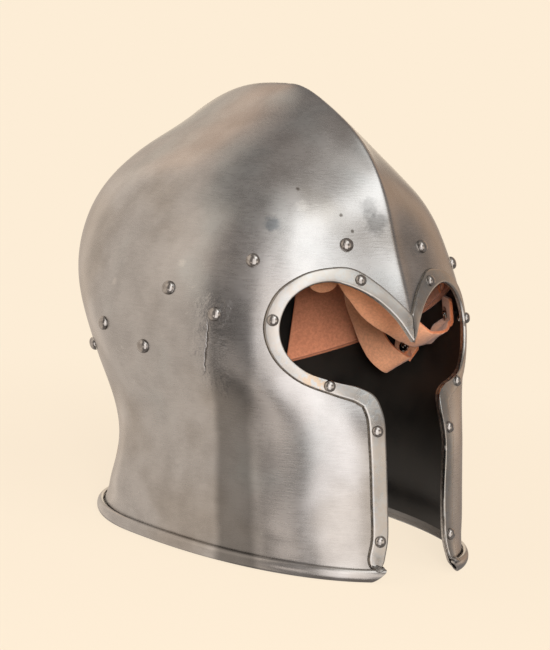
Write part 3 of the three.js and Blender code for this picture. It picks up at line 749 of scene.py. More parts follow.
# The inside: dark steel, painted near black with the shade inside the shell: clouds, a fine grain,
# and a lighter grey band above the foot, where less shade is painted
INSIDE_CLOUDS = (40, 4, 0.6)
INSIDE_DARK_AND_SHADE_TINTS = ((0.3, (0.006, 0.0055, 0.005)), (0.7, (0.014, 0.012, 0.01)))
INSIDE_ROUGHNESS = 0.42
INSIDE_UNEVEN = 0.2
FINE_GRAIN = (900, 3, 0.6)
INSIDE_BUMP = (0.2, 0.0003)
FOOT_BAND_HEIGHT = 0.008
FOOT_BAND_GREY = (0.17, 0.155, 0.14)
FOOT_BAND_EDGE = ((0.82, 1.0), (0.86, 0.0))


def inside_material():
    n = Nodes("dark_inside_painted_shade")
    clouds = n.noise(*INSIDE_CLOUDS)
    height = n.times(n.parts()[2], 1 / FOOT_BAND_HEIGHT)
    # Painted shade: the inside is coloured near black, and lighter grey in a band just above the foot
    color = n.mix(n.ramp(height, *FOOT_BAND_EDGE), n.ramp(clouds, *INSIDE_DARK_AND_SHADE_TINTS), FOOT_BAND_GREY)
    rough = n.plus(n.times(clouds, INSIDE_UNEVEN), INSIDE_ROUGHNESS)
    grain = n.bump(n.noise(*FINE_GRAIN), *INSIDE_BUMP)
    return n.set(Base_Color=color, Metallic=0.0, Roughness=rough, Normal=grain, Specular_IOR_Level=0.5)


# Where the trim is pitted, below the near eye, how far that reaches, and how much it is elsewhere
TRIM_WORN = (-0.056, -0.104, 0.108)
TRIM_WORN_REACH = 0.009
TRIM_WORN_ELSEWHERE = 0.25
TRIM_PATCHES = (45, 4, 0.6)
TRIM_TINTS = ((0.3, (0.42, 0.43, 0.43)), (0.6, (0.54, 0.535, 0.52)), (0.8, (0.64, 0.62, 0.58)))
TRIM_PITS = (260, 4, 0.7)
TRIM_PIT_SHOWS = ((0.42, 0.0), (0.55, 0.8))
TRIM_PIT_COLOR = (0.55, 0.42, 0.3)
TRIM_PIT_BUMP = (0.15, 0.0003)
TRIM_GRAIN_BUMP = (0.1, 0.0003)
TRIM_ROUGHNESS = 0.16
TRIM_UNEVEN = 0.25


def trim_material():
    n = Nodes("trim_steel")
    patches = n.noise(*TRIM_PATCHES)
    pits = n.noise(*TRIM_PITS)
    worn = n.math("MAXIMUM", n.blot(TRIM_WORN, TRIM_WORN_REACH), TRIM_WORN_ELSEWHERE)
    pitted = n.times(n.ramp(pits, *TRIM_PIT_SHOWS), worn)
    color = n.mix(pitted, n.ramp(patches, *TRIM_TINTS), TRIM_PIT_COLOR)
    rough = n.plus(n.times(patches, TRIM_UNEVEN), TRIM_ROUGHNESS)
    grain = n.bump(pits, *TRIM_PIT_BUMP, n.bump(n.noise(*FINE_GRAIN), *TRIM_GRAIN_BUMP))
    return n.set(Base_Color=color, Metallic=1.0, Roughness=rough, Normal=grain)


def plain_material(name, fineness, dark, light, metal, rough, uneven, bump, depth):
    """One noise spots its color, lifts its roughness from rough by uneven, and makes its bumps."""
    n = Nodes(name)
    spots = n.noise(fineness, 3, 0.6)
    return n.set(Base_Color=n.ramp(spots, (0.3, dark), (0.7, light)), Metallic=metal,
                 Roughness=n.plus(n.times(spots, uneven), rough), Normal=n.bump(spots, bump, depth))


LEATHER_CLOUDS = (35, 4, 0.6)
LEATHER_GRAIN_TINTS = ((0.3, 0.8), (0.7, 1.06))
LEATHER_GRAIN_BUMP = (0.25, 0.0006)
FIBRE_BUMP = (0.2, 0.0003)
# How much finer the fibres are than the grain
FIBRE_FINENESS = 2.5


def leather_material(name, fineness, dark, mid, light):
    n = Nodes(name)
    grain = n.noise(fineness, 4, 0.7)
    color = n.ramp(n.noise(*LEATHER_CLOUDS), (0.3, dark), (0.55, mid), (0.75, light))
    color = n.mix(1.0, color, n.ramp(grain, *LEATHER_GRAIN_TINTS), "MULTIPLY")
    bumps = n.bump(grain, *LEATHER_GRAIN_BUMP)
    bumps = n.bump(n.noise(fineness * FIBRE_FINENESS, 3, 0.7), *FIBRE_BUMP, bumps)
    return n.set(Base_Color=color, Roughness=0.88, Normal=bumps, Specular_IOR_Level=0.25,
                 Sheen_Weight=0.15, Sheen_Roughness=0.5)


STEEL = steel_material()
INSIDE = inside_material()
EDGE = plain_material("cut_edge_steel", 700, (0.35, 0.33, 0.31), (0.6, 0.58, 0.55),
                      metal=1.0, rough=0.22, uneven=0.25, bump=0.2, depth=0.0002)
TRIM = trim_material()
# Painted shade with grime: the dark line along the trim's outer edge
GAP_GRIME_AND_SHADE = plain_material("gap_grime_and_painted_shade", 600, (0.03, 0.026, 0.022), (0.09, 0.075, 0.06),
                      metal=0.0, rough=0.75, uneven=0.0, bump=0.2, depth=0.0002)
RIVET = plain_material("rivet_steel", 420, (0.32, 0.3, 0.285), (0.52, 0.5, 0.48),
                       metal=1.0, rough=0.05, uneven=0.14, bump=0.15, depth=0.0004)
SUEDE = leather_material("liner_leather", 500, (0.52, 0.2, 0.11), (0.6, 0.235, 0.13), (0.66, 0.27, 0.15))
STRAP = leather_material("strap_leather", 650, (0.6, 0.27, 0.155), (0.68, 0.32, 0.18), (0.74, 0.36, 0.21))
CUT_LEATHER = leather_material("cut_leather", 900, (0.46, 0.14, 0.06), (0.52, 0.17, 0.075),
                               (0.58, 0.2, 0.09))


# Skull

def build_skull():
    """Makes the shell, cuts its opening, and gives a search tree of the shell before the cut."""
    verts, faces, kinds = skull_mesh()
    tree = BVHTree.FromPolygons([Vector(v) for v in verts], faces)
    piece = make_object("skull_shell", verts, faces, [STEEL, INSIDE, EDGE], kinds)
    cut_from(piece, opening_cutter())
    finish_piece(piece, "skull")
    return tree


SKIN_TREE = build_skull()


def wall_from_front(x, z):
    """The shell's point and normal that one sees first from straight ahead."""
    hit, normal, _, _ = SKIN_TREE.ray_cast(Vector((x, -FACE_DEPTH * 2, z)), Vector((0, 1, 0)))
    return np.array(hit), np.array(normal)


# Trim: a riveted strip, and the dark line beside it, painted shade and grime at its outer edge

# Sections of the strip and of the dark line of painted shade and grime that shows past its outer edge:
# shares across and up
TRIM_SECTION = ((0.0, 0.0), (0.0, 0.75), (0.04, 0.95), (0.12, 1.0), (0.5, 1.02),
                (0.88, 1.0), (0.96, 0.95), (1.0, 0.75), (1.0, 0.0))
GAP_LINE_SECTION = ((0.5, 0.0), (0.5, 1.0), (0.8, 1.0), (1.0, 1.0), (1.0, 0.0))
GAP_LINE_WIDTH = 0.0006
GAP_LINE_SHEET = 0.00012
# The trim ends above the foot, and its end is rounded over this length
TRIM_FOOT = 0.0045
TRIM_TIP = 0.0075
TRIM_TIP_BLUNT = 0.02


def beside_middle(point, near):
    """Moves a point back towards the opening's edge, until it clears the middle of the nasal."""
    gap = CLEARANCE / 2
    if point[0] >= gap:
        return point
    share = (near[0] - gap) / max(near[0] - point[0], 1e-9)
    point = near + (point - near) * max(share, 0)
    point[0] = gap
    return point


def trim_rows(sign, section, base, sheet, wider):
    """Rows of a section laid on the shell, outwards from the opening's edge."""
    curve = OPENING[OPENING[:, 1] > TRIM_FOOT]
    along = unit(np.gradient(curve[:, :2], axis=0))
    run = run_along(curve[:, :2])
    left = 1 - np.minimum((run[-1] - run) / TRIM_TIP, 1)
    tip = np.sqrt(np.clip(1 - left ** 2, TRIM_TIP_BLUNT, 1))
    rows = []
    for i, (x, z, width) in enumerate(curve):
        out = np.array([-along[i, 1], along[i, 0]])
        near = np.array([x, z]) + out * width / 2 * (1 - tip[i])
        far = np.array([x, z]) + out * (width / 2 * (1 + tip[i]) + wider)
        row = []
        for across, rise in section:
            point = beside_middle(near + (far - near) * across, near)
            hit, normal = wall_from_front(sign * point[0], point[1])
            row.append(hit + normal * (base + sheet * rise))
        rows.append(row)
    return np.array(rows)


def build_trim(side, sign):
    for name, node, material, sharp, *shape in (
            ("trim_strip", f"trim_{side}", TRIM, SECTION_SHARP, TRIM_SECTION, CLEARANCE, TRIM_SHEET, 0.0),
            # The dark line of painted shade and grime past the trim's outer edge
            ("trim_gap_line", None, GAP_GRIME_AND_SHADE, 0, GAP_LINE_SECTION, GAP_LINE_SHEET, GAP_LINE_SHEET, GAP_LINE_WIDTH)):
        rows = trim_rows(sign, *shape)
        new_piece(f"{name}_{side}", rows.reshape(-1, 3), band_faces(*rows.shape[:2]), [material], node,
                  sharp=sharp)


for side, sign in SIDES:
    build_trim(side, sign)


# Rivets and washers

RIVET_SIDES = 28
DOME_STEPS = 8
# Where the dome's curve starts above its foot, as a share of a quarter turn, and how full it is
DOME_START = 0.08
DOME_FULLNESS = 0.9
# The hammered tail from its middle to the shank: distance from the axis and depth, in TAIL_RADIUS
TAIL_SECTION = ((0.0, 0.6), (0.6, 0.5), (0.95, 0.25), (1.0, 0.0), (0.6, 0.0))
# The least radius of a turned piece
AXIS_GAP = 1e-5
# A step outwards that surely leaves the wall
OUTSIDE = 0.02


def lathe(profile):
    """Points and faces of a profile of (radius, height) turned round +Z."""
    verts = []
    for radius, height in profile:
        for i in range(RIVET_SIDES):
            angle = 2 * math.pi * i / RIVET_SIDES
            verts.append((radius * math.cos(angle), radius * math.sin(angle), height))
    return verts, grid_faces(len(profile), RIVET_SIDES, wrap_columns=True)


def place_piece(points, at, normal):
    turn = Vector((0, 0, 1)).rotation_difference(Vector(normal))
    return [Vector(at) + turn @ Vector(p) for p in points]


def build_turned(node, profile, at, normal, sharp):
    """A turned piece that stands on a surface."""
    verts, faces = lathe(profile)
    verts = place_piece(verts, at, normal)
    new_piece(f"{node}_fine", verts, faces, [RIVET], node, sharp=sharp)


def dome_profile(radius, height, base, foot):
    """From the tail's middle round its rim, up the shank, and over the domed head."""
    profile = [(max(TAIL_RADIUS * out, AXIS_GAP), foot - TAIL_RADIUS * deep) for out, deep in TAIL_SECTION]
    profile += [(profile[-1][0], base), (radius, base)]
    for share in np.linspace(DOME_START, 1, DOME_STEPS + 1):
        rise = share * math.pi / 2
        out = radius * math.cos(rise) ** DOME_FULLNESS
        profile.append((max(out, AXIS_GAP), base + height * math.sin(rise)))
    return profile


def build_rivet(node, radius, height, base, foot):
    """A rivet on the shell's outside, nearest to where the frame has it."""
    low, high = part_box(node)
    at, normal, _, _ = SKIN_TREE.find_nearest((low + high) / 2)
    inward = Vector((0, AXIS_Y, at.z)) - at
    if normal.dot(inward) > 0:
        at, normal, _, _ = SKIN_TREE.ray_cast(at - inward.normalized() * OUTSIDE, inward)
    build_turned(node, dome_profile(radius, height, base, foot), at, normal, RIVET_SHARP)
    return at, normal


WASHER_TOP = -SHEET - CLEARANCE - LINER_LEATHER - LINER_SLACK
STRAP_WASHER_TOP = -SHEET - CLEARANCE - STRAP_SEAT - STRAP_LEATHER - CLEARANCE * 2
# The washer's hole, in TAIL_RADIUS, and its rounded edge, in WASHER_SHEET
WASHER_HOLE = 0.8
WASHER_EDGE = 0.3
TRIM_RIVETS = ("brow", "temple", "cheekbone", "cheek", "foot")
LINER_RIVETS = (1, 2, 3, 4, 5)
STRAP_RIVETS = ("front", "rear")


def build_washer(node, at, normal, top):
    hole = TAIL_RADIUS * WASHER_HOLE
    edge = WASHER_SHEET * WASHER_EDGE
    foot = top - WASHER_SHEET
    rim = WASHER_RADIUS - edge
    profile = ((hole, top), (rim, top), (WASHER_RADIUS, top - edge), (WASHER_RADIUS, foot + edge),
               (rim, foot), (hole, foot), (hole, top))
    build_turned(node, profile, at, normal, 1)


def build_rivet_and_washer(kind, name, top):
    seat = build_rivet(f"{kind}_rivet_{name}", LINER_HEAD_RADIUS, LINER_HEAD_HEIGHT, CLEARANCE / 2,
                       top - WASHER_SHEET)
    build_washer(f"{kind}_washer_{name}", *seat, top)
    return [np.array(v) for v in seat]


def build_rivets():
    """Builds the rivets through the shell; gives where those of the chin strap stand."""
    seats = {}
    for side, _ in SIDES:
        for place in TRIM_RIVETS:
            build_rivet(f"trim_rivet_{place}_{side}", TRIM_HEAD_RADIUS, TRIM_HEAD_HEIGHT,
                        TRIM_SHEET + CLEARANCE * 1.5, -SHEET - CLEARANCE)
        for place in LINER_RIVETS:
            build_rivet_and_washer("liner", f"{place}_{side}", WASHER_TOP)
        for place in STRAP_RIVETS:
            name = f"{place}_{side}"
            seats[name] = build_rivet_and_washer("strap", name, STRAP_WASHER_TOP)
    return seats


STRAP_SEATS = build_rivets()


# Straps: long pieces of leather with a worn section and cut edges

STRAP_TOP = -SHEET - CLEARANCE - STRAP_SEAT
LAYER_PITCH = STRAP_LEATHER + CLEARANCE * 2
# Half the leather's section, in half its width and half its thickness, and the whole of it
LEATHER_TOP = np.array([
    (-1.0, 0.45), (-0.985, 0.85), (-0.94, 1.0), (-0.5, 1.0), (0.0, 1.0), (0.5, 1.0), (0.94, 1.0),
    (0.985, 0.85), (1.0, 0.45),
])
LEATHER_SECTION = np.vstack([LEATHER_TOP * (1, -1), LEATHER_TOP[::-1]])
CUT_EDGE_FROM = 0.98
STRAP_STEPS = 80
STRAP_CURVE_STEPS = 20
CORNER_STEPS = 7
LEG_CORNER = 0.004
TONGUE_CORNER = 0.0096


def leather_piece(name, node, rows, leather):
    """A piece of leather from rows of its section; its side edges and its ends are cut."""
    count = len(LEATHER_SECTION)
    outer = np.abs(LEATHER_SECTION[:, 0]) > CUT_EDGE_FROM
    kinds = [int(both) for both in outer & np.roll(outer, -1)] * (len(rows) - 1) + [1, 1]
    return new_piece(name, rows.reshape(-1, 3), band_faces(len(rows), count), [leather, CUT_LEATHER],
                     node, kinds=kinds)


def corner_loss(distance, radius):
    """How much narrower a strap's half is, at a distance from its rounded end."""
    left = radius - np.minimum(distance, radius)
    return radius - np.sqrt(np.maximum(radius ** 2 - left ** 2, 0))


def strap_curve(stations):
    """A strap's middle and the way of its width, through stations that give both."""
    rows = np.array([[*at, *(unit(wide) * CLEARANCE)] for at, wide in stations])
    return catmull_rom(rows, STRAP_CURVE_STEPS)


def build_strap(name, node, stations, end=LEG_CORNER):
    """A strap along its stations, with rounded corners at its ends."""
    curve = strap_curve(stations)
    run = run_along(curve[:, :3])
    near = 1 - np.cos(np.linspace(0, math.pi / 2, CORNER_STEPS))
    middle_steps = np.linspace(0, run[-1], STRAP_STEPS)
    at = np.unique(np.concatenate([near * LEG_CORNER, middle_steps, run[-1] - near * end]))
    curve = at_runs(at, run, curve)
    middle, wide = curve[:, :3], curve[:, 3:]
    along = unit(np.gradient(middle, at, axis=0))
    wide = unit(wide - along * np.sum(wide * along, axis=1, keepdims=True))
    face = np.cross(along, wide)
    half = STRAP_WIDTH / 2 - corner_loss(at, LEG_CORNER) - corner_loss(run[-1] - at, end)
    across, depth = LEATHER_SECTION.T
    rows = middle[:, None] + wide[:, None] * (half[:, None] * across)[..., None]
    rows = rows + face[:, None] * (depth * STRAP_LEATHER / 2)[None, :, None]
    return leather_piece(name, node, rows, STRAP)


def place_share(shares):
    """A place given in shares of HALF_WIDTH, FRONT_REACH and LINER_HEIGHT."""
    return np.array(shares) * (HALF_WIDTH, FRONT_REACH, LINER_HEIGHT) + (0, AXIS_Y, 0)


# A leg's first stations, above and below its rivet, in shares of STRAP_WIDTH
LEG_START_SHARES = (0.5, 0.0, -0.25)


def leg_start(seat, lean):
    """A leg's end above its rivet, the middle of its rivet, and a point below, turned by its lean."""
    at, normal = seat
    middle = at + normal * (STRAP_TOP - STRAP_LEATHER / 2)
    wide = unit(np.cross((0, 0, 1), normal))
    up = np.cross(normal, wide)
    wide = wide if wide[1] > 0 else -wide
    turn = Matrix.Rotation(-math.radians(lean) * np.sign(normal[0]), 3, Vector(normal))
    wide, up = np.array(turn @ Vector(wide)), np.array(turn @ Vector(up))
    return [(middle + up * share * STRAP_WIDTH, wide) for share in LEG_START_SHARES]


def leg_way(seat, shares):
    across, _, height = seat[0]
    scale = np.array([across, FRONT_REACH, height])
    return [(np.array(row[:3]) * scale + (0, AXIS_Y, 0), row[3:]) for row in shares]


def join_stations(join, layer):
    """Where a strap passes its join rivet, so many layers out from the middle of the stack."""
    at = join["middle"] + join["out"] * layer * LAYER_PITCH
    return [(at + join["along"] * share * STRAP_WIDTH / 2, join["wide"]) for share in (-1, 0, 1)]


# Where each leg passes, as shares of its rivet's distance across, of FRONT_REACH and of its rivet's
# height, then the way the width points
FRONT_LEG_LEFT_SHARES = (
    (0.921, -0.4, 0.937, 0.3, 0.95, -0.12),
    (0.833, -0.435, 0.898, 0.6, 0.78, -0.2),
    (0.688, -0.447, 0.884, 0.58, 0.68, -0.45),
    (0.556, -0.459, 0.911, 0.45, 0.65, -0.6),
    (0.432, -0.475, 0.95, 0.2, 0.68, -0.7),
    (0.305, -0.479, 0.984, 0, 0.72, -0.69),
    (0.196, -0.475, 1.027, -0.18, 0.76, -0.63),
    (0.109, -0.463, 1.087, -0.28, 0.79, -0.55),
)
REAR_LEG_LEFT_SHARES = (
    (0.912, -0.091, 0.966, -0.05, 0.87, -0.5),
    (0.834, -0.144, 0.926, -0.28, 0.76, -0.59),
    (0.748, -0.11, 0.982, -0.2, 0.79, -0.57),
    (0.709, -0.058, 1.085, -0.12, 0.81, -0.57),
    (0.687, -0.024, 1.194, -0.12, 0.81, -0.57),
    (0.601, -0.054, 1.316, -0.15, 0.81, -0.57),
    (0.391, -0.192, 1.427, -0.26, 0.82, -0.51),
    (0.22, -0.301, 1.469, -0.3, 0.82, -0.45),
    (0.146, -0.43, 1.42, -0.3, 0.83, -0.45),
)
FRONT_LEG_RIGHT_SHARES = (
    (0.917, -0.365, 0.827, 0, 0.93, 0.35),
    (0.88, -0.325, 0.729, 0, 0.93, 0.35),
    (0.855, -0.292, 0.651, 0, 0.97, 0.2),
)
REAR_LEG_RIGHT_SHARES = (
    (0.878, -0.163, 0.906, 0.1, 0.75, -0.65),
    (0.824, -0.203, 0.854, 0.1, 0.8, -0.6),
    (0.784, -0.242, 0.805, 0, 0.9, -0.45),
)
# The tongue takes shares of HALF_WIDTH, FRONT_REACH and LINER_HEIGHT
TONGUE_SHARES = (
    (-0.107, -0.4, 1.422, -0.1, 0.97, 0),
    (-0.082, -0.35, 1.465, -0.35, 0.9, 0),
    (-0.03, -0.287, 1.422, -0.6, 0.75, 0),
    (0.04, -0.248, 1.351, -0.7, 0.68, 0),
    (0.08, -0.229, 1.237, -0.76, 0.64, 0),
    (0.09, -0.216, 1.123, -0.76, 0.64, 0),
)
JOIN_LEFT = {
    "middle": place_share((0.003, -0.433, 1.277)),
    "along": unit((-0.3, 0.35, 0.89)),
    "out": unit((0.9, 0.41, 0.14)),
    "wide": np.array([-0.31, 0.84, -0.44]),
}
JOIN_RIGHT = {
    "middle": place_share((-0.735, -0.275, 0.571)),
    "along": np.array([0, 0, -1.0]),
    "out": np.array([1.0, 0, 0]),
    "wide": np.array([0, 1.0, 0]),
}
BAR_MIDDLE = place_share((-0.703, -0.275, 0.351))
BUCKLE_BAR = 0.0012
BUCKLE_INSIDE = 0.022
BUCKLE_DROP = 0.017
PRONG_RADIUS = 0.001
FOLD_RADIUS = BUCKLE_BAR + CLEARANCE + STRAP_LEATHER / 2


# Each leg: how many degrees it leans at its rivet, its way, and its join with its layer there
LEGS = {
    "front_left": (0, FRONT_LEG_LEFT_SHARES, JOIN_LEFT, 0),
    "rear_left": (20, REAR_LEG_LEFT_SHARES, JOIN_LEFT, 1),
    "front_right": (-15, FRONT_LEG_RIGHT_SHARES, JOIN_RIGHT, -0.5),
    "rear_right": (40, REAR_LEG_RIGHT_SHARES, JOIN_RIGHT, -1.5),
}
# The prong's holes, as shares of the tongue's length
PRONG_HOLE_SHARES = (0.58, 0.71, 0.83)
PRONG_HOLE_RADIUS = 0.0017
TONGUE_STEPS = 100
FOLD_STEPS = 9


def build_legs():
    for name, (lean, shares, join, layer) in LEGS.items():
        seat = STRAP_SEATS[name]
        stations = leg_start(seat, lean) + leg_way(seat, shares) + join_stations(join, layer)
        build_strap(f"strap_leg_{name}", f"chin_strap_{name}", stations)


def cut_hole(piece, at, way, radius, half_length):
    """Cuts a round hole about a point."""
    verts, faces = lathe([(AXIS_GAP, -half_length), (radius, -half_length), (radius, half_length),
                          (AXIS_GAP, half_length)])
    cut_from(piece, make_object("rod", place_piece(verts, at, way), faces, [EDGE] * 2))


def build_tongue():
    way = [(place_share(s[:3]), s[3:]) for s in TONGUE_SHARES]
    stations = join_stations(JOIN_LEFT, -1) + way
    piece = build_strap("strap_tongue_fine", "chin_strap_tongue", stations, TONGUE_CORNER)
    curve = even_steps(strap_curve(stations), TONGUE_STEPS, 3)
    for share in PRONG_HOLE_SHARES:
        i = int(share * TONGUE_STEPS)
        along = curve[i + 1, :3] - curve[i - 1, :3]
        way = unit(np.cross(along, curve[i, 3:]))
        cut_hole(piece, curve[i, :3], way, PRONG_HOLE_RADIUS, STRAP_LEATHER * 2)


def build_buckle_strap():
    """Folded round the buckle's bar, with a slot for the prong in the fold."""
    fold = []
    for angle in np.linspace(math.pi, 2 * math.pi, FOLD_STEPS):
        ring = np.array([math.cos(angle), 0, math.sin(angle)])
        fold.append((BAR_MIDDLE + ring * FOLD_RADIUS, JOIN_RIGHT["wide"]))
    stations = join_stations(JOIN_RIGHT, 0.5) + fold + join_stations(JOIN_RIGHT, 1.5)[::-1]
    piece = build_strap("buckle_strap_fine", "buckle_strap", stations)
    cut_hole(piece, BAR_MIDDLE, (0, 1, 0), FOLD_RADIUS + STRAP_LEATHER * 2, PRONG_RADIUS + CLEARANCE)


def build_join_rivets():
    for side, join, top_layer, layers in (("left", JOIN_LEFT, 1, 3), ("right", JOIN_RIGHT, 1.5, 4)):
        at = join["middle"] + join["out"] * (top_layer * LAYER_PITCH + STRAP_LEATHER / 2)
        stack = (layers - 1) * LAYER_PITCH + STRAP_LEATHER
        profile = dome_profile(TRIM_HEAD_RADIUS, TRIM_HEAD_HEIGHT, CLEARANCE / 2, -stack - CLEARANCE / 2)
        build_turned(f"strap_join_rivet_{side}", profile, at, join["out"], RIVET_SHARP)


build_legs()
build_tongue()
build_buckle_strap()
build_join_rivets()


# Buckle

TUBE_SIDES = 12
TUBE_ANGLES = np.arange(TUBE_SIDES) * 2 * math.pi / TUBE_SIDES
FRAME_CORNER = 0.0028
FRAME_CORNER_STEPS = 7
PRONG_STEPS = 12
PRONG_EYE_STEPS = 28
PRONG_TAPER = 0.35
# The prong's eye round the bar, in PRONG_RADIUS: how thick its wire is, and how far that stands off
PRONG_EYE_WIRE = 0.75
PRONG_EYE_OFF = 0.7
# Ways that no wire of the frame or of the prong runs along
ACROSS_FRAME = (-1.0, 0, 0)
ACROSS_PRONG = (0.1, 0.95, 0.2)


def tube(path, radius, closed, guide):
    """Points and faces of a round wire along a path; no part of it may run along the guide."""
    path = np.asarray(path, float)
    if closed:
        along = np.roll(path, -1, axis=0) - np.roll(path, 1, axis=0)
    else:
        along = np.gradient(path, axis=0)
    along = unit(along)
    side = unit(np.cross(along, guide))
    other = np.cross(along, side)
    ring = side[:, None] * np.cos(TUBE_ANGLES)[:, None] + other[:, None] * np.sin(TUBE_ANGLES)[:, None]
    verts = (path[:, None] + ring * np.broadcast_to(radius, len(path))[:, None, None]).reshape(-1, 3)
    if closed:
        return verts, grid_faces(len(path), TUBE_SIDES, wrap_rows=True, wrap_columns=True)
    return verts, band_faces(len(path), TUBE_SIDES)


def frame_path():
    half = BUCKLE_INSIDE / 2 + BUCKLE_BAR
    path = []
    for i, (y, z) in enumerate(((-half, 0), (half, 0), (half, -BUCKLE_DROP), (-half, -BUCKLE_DROP))):
        inner_y = y - math.copysign(FRAME_CORNER, y)
        inner_z = z - FRAME_CORNER if z == 0 else z + FRAME_CORNER
        start = 180 - 90 * i
        for angle in np.radians(np.linspace(start, start - 90, FRAME_CORNER_STEPS)):
            ring = np.array([0, math.cos(angle), math.sin(angle)])
            path.append(BAR_MIDDLE + (0, inner_y, inner_z) + ring * FRAME_CORNER)
    return path


def build_buckle():
    verts, faces = tube(frame_path(), BUCKLE_BAR, True, ACROSS_FRAME)
    new_piece("buckle_frame_fine", verts, faces, [RIVET], "buckle_frame", "buckle", sharp=0)
    eye_radius = BUCKLE_BAR + CLEARANCE + PRONG_RADIUS * PRONG_EYE_OFF
    angles = np.linspace(0, 2 * math.pi, PRONG_EYE_STEPS, endpoint=False)
    eye = [BAR_MIDDLE + np.array([math.cos(a), 0, math.sin(a)]) * eye_radius for a in angles]
    lift = BUCKLE_BAR + PRONG_RADIUS + CLEARANCE
    root = BAR_MIDDLE + (0, 0, -eye_radius)
    tip = BAR_MIDDLE + (lift, 0, -BUCKLE_DROP - BUCKLE_BAR)
    steps = np.linspace(0, 1, PRONG_STEPS)
    bow = np.sin(steps * math.pi)[:, None] * np.array([CLEARANCE, 0, 0])
    pin = root + (tip - root) * steps[:, None] + bow
    pin_radius = PRONG_RADIUS * (1 - PRONG_TAPER * steps ** 2)
    eye_verts, eye_faces = tube(eye, PRONG_RADIUS * PRONG_EYE_WIRE, True, ACROSS_PRONG)
    pin_verts, pin_faces = tube(pin, pin_radius, False, ACROSS_PRONG)
    faces = eye_faces + [tuple(i + len(eye_verts) for i in face) for face in pin_faces]
    new_piece("buckle_prong_fine", np.vstack([eye_verts, pin_verts]), faces, [RIVET], "buckle_prong",
              "prong", sharp=0)


build_buckle()


# Wire in the rolled rim

WIRE_RADIUS = 0.002


def build_rim_wire():
    """Lies in the roll, and ends short of the trim."""
    turns = all_turns()
    centre = roll_points(turns, 0, TUBE_ANGLES)[:, 0]
    keep = (np.abs(centre[:, 0]) > OPENING[-1, 0] + BEVEL_TOP + WIRE_RADIUS) | (centre[:, 1] > 0)
    rings = roll_points(turns[keep], WIRE_RADIUS, TUBE_ANGLES)
    new_piece("rim_wire_fine", rings.reshape(-1, 3), band_faces(len(rings), TUBE_SIDES), [EDGE], "rim_wire",
              sharp=0)


build_rim_wire()


# Liner: a headband under the rivets, and lobes that rise from it to the crown

BAND_TOP = -SHEET - CLEARANCE
LOBE_LIFT = 0.001
BAND_DROP = BAND_WIDTH / 2 * math.hypot(1, LINER_SLOPE)
BAND_END_ANGLE = math.radians(131)
LOBE_TOP = WASHER_TOP - WASHER_SHEET - CLEARANCE * 2 - LOBE_LIFT
LOBE_END_LEVEL = 1.5
LOBE_ANGLES = (("front", 13, 57), ("side", 59, 96), ("rear", 98, 131))
BAND_STEPS = 150
# The last tenth of a lobe has finer steps, and its end is rounded off over a share of its length
LOBE_STEPS = 26
LOBE_FINE_STEPS = 10
LOBE_FINE_SHARE = 0.1
LOBE_ROUND_SHARE = 0.28
LOBE_NARROWING = 0.9
LOBE_BLUNT = 0.01
TURN_TRIES = 14
TURN_STEP = 1e-4
TURN_LIMIT = 0.2
LEVEL_TRIES = 22


def bearing(points):
    """The angle of points about the shell's axis, from the front towards the left."""
    return np.arctan2(points[..., 0], -(points[..., 1] - AXIS_Y))


def turn_at(level, angle, offset):
    """The turn at which the skin has a bearing, found by steps."""
    turn = angle
    for _ in range(TURN_TRIES):
        here = bearing(skin(level, turn, offset))
        slope = (bearing(skin(level, turn + TURN_STEP, offset)) - here) / TURN_STEP
        miss = (here - angle + math.pi) % (2 * math.pi) - math.pi
        turn = turn - np.clip(miss / np.maximum(slope, TURN_LIMIT), -TURN_LIMIT, TURN_LIMIT)
    return turn


def level_at(lift, angle, offset):
    """The level at which the skin stands a lift above the liner's plane, at a bearing."""
    low = np.full_like(angle, LOBE_END_LEVEL)
    high = np.full_like(angle, LAST_LEVEL - 1)
    for _ in range(LEVEL_TRIES):
        middle = (low + high) / 2
        points = skin(middle, turn_at(middle, angle, offset), offset)
        above = points[..., 2] + LINER_SLOPE * (points[..., 1] - AXIS_Y) > LINER_HEIGHT + lift
        low = np.where(above, middle, low)
        high = np.where(above, high, middle)
    return (low + high) / 2


def leather_on_skin(level, angle, top):
    """The leather's section laid along the skin, one row per row of levels and bearings."""
    depth = LEATHER_SECTION[:, 1]
    offset = np.broadcast_to(top - LINER_LEATHER * (1 - depth) / 2, level.shape)
    turn = turn_at(level, angle, top)
    return skin(level, turn, offset + wave(skin(level, turn, 0)))


def build_headband():
    angles = np.linspace(-BAND_END_ANGLE, BAND_END_ANGLE, BAND_STEPS)
    angle, across = np.meshgrid(angles, LEATHER_SECTION[:, 0], indexing="ij")
    rows = leather_on_skin(level_at(across * BAND_DROP, angle, BAND_TOP), angle, BAND_TOP)
    leather_piece("headband_fine", "headband", rows, SUEDE)


def build_lobe(node, sign, start, end):
    """A lobe between two bearings in degrees, from the headband's foot to the crown."""
    first, last = math.radians(start), math.radians(end)
    fine = np.sin(np.linspace(0, math.pi / 2, LOBE_FINE_STEPS)[1:])
    steps = np.linspace(0, 1 - LOBE_FINE_SHARE, LOBE_STEPS)
    steps = np.concatenate([steps, 1 - LOBE_FINE_SHARE * (1 - fine)])
    past = np.clip(1 - (1 - steps) / LOBE_ROUND_SHARE, 0, 1)
    narrow = 1 - LOBE_NARROWING * (1 - np.sqrt(np.clip(1 - past ** 2, LOBE_BLUNT, 1)))
    share, across = np.meshgrid(steps, LEATHER_SECTION[:, 0], indexing="ij")
    angle = sign * ((first + last) / 2 + (last - first) / 2 * across * narrow[:, None])
    foot = level_at(np.full_like(angle, -BAND_DROP), angle, LOBE_TOP)
    level = foot + (LOBE_END_LEVEL - foot) * share
    leather_piece(f"{node}_fine", node, leather_on_skin(level, angle, LOBE_TOP), SUEDE)


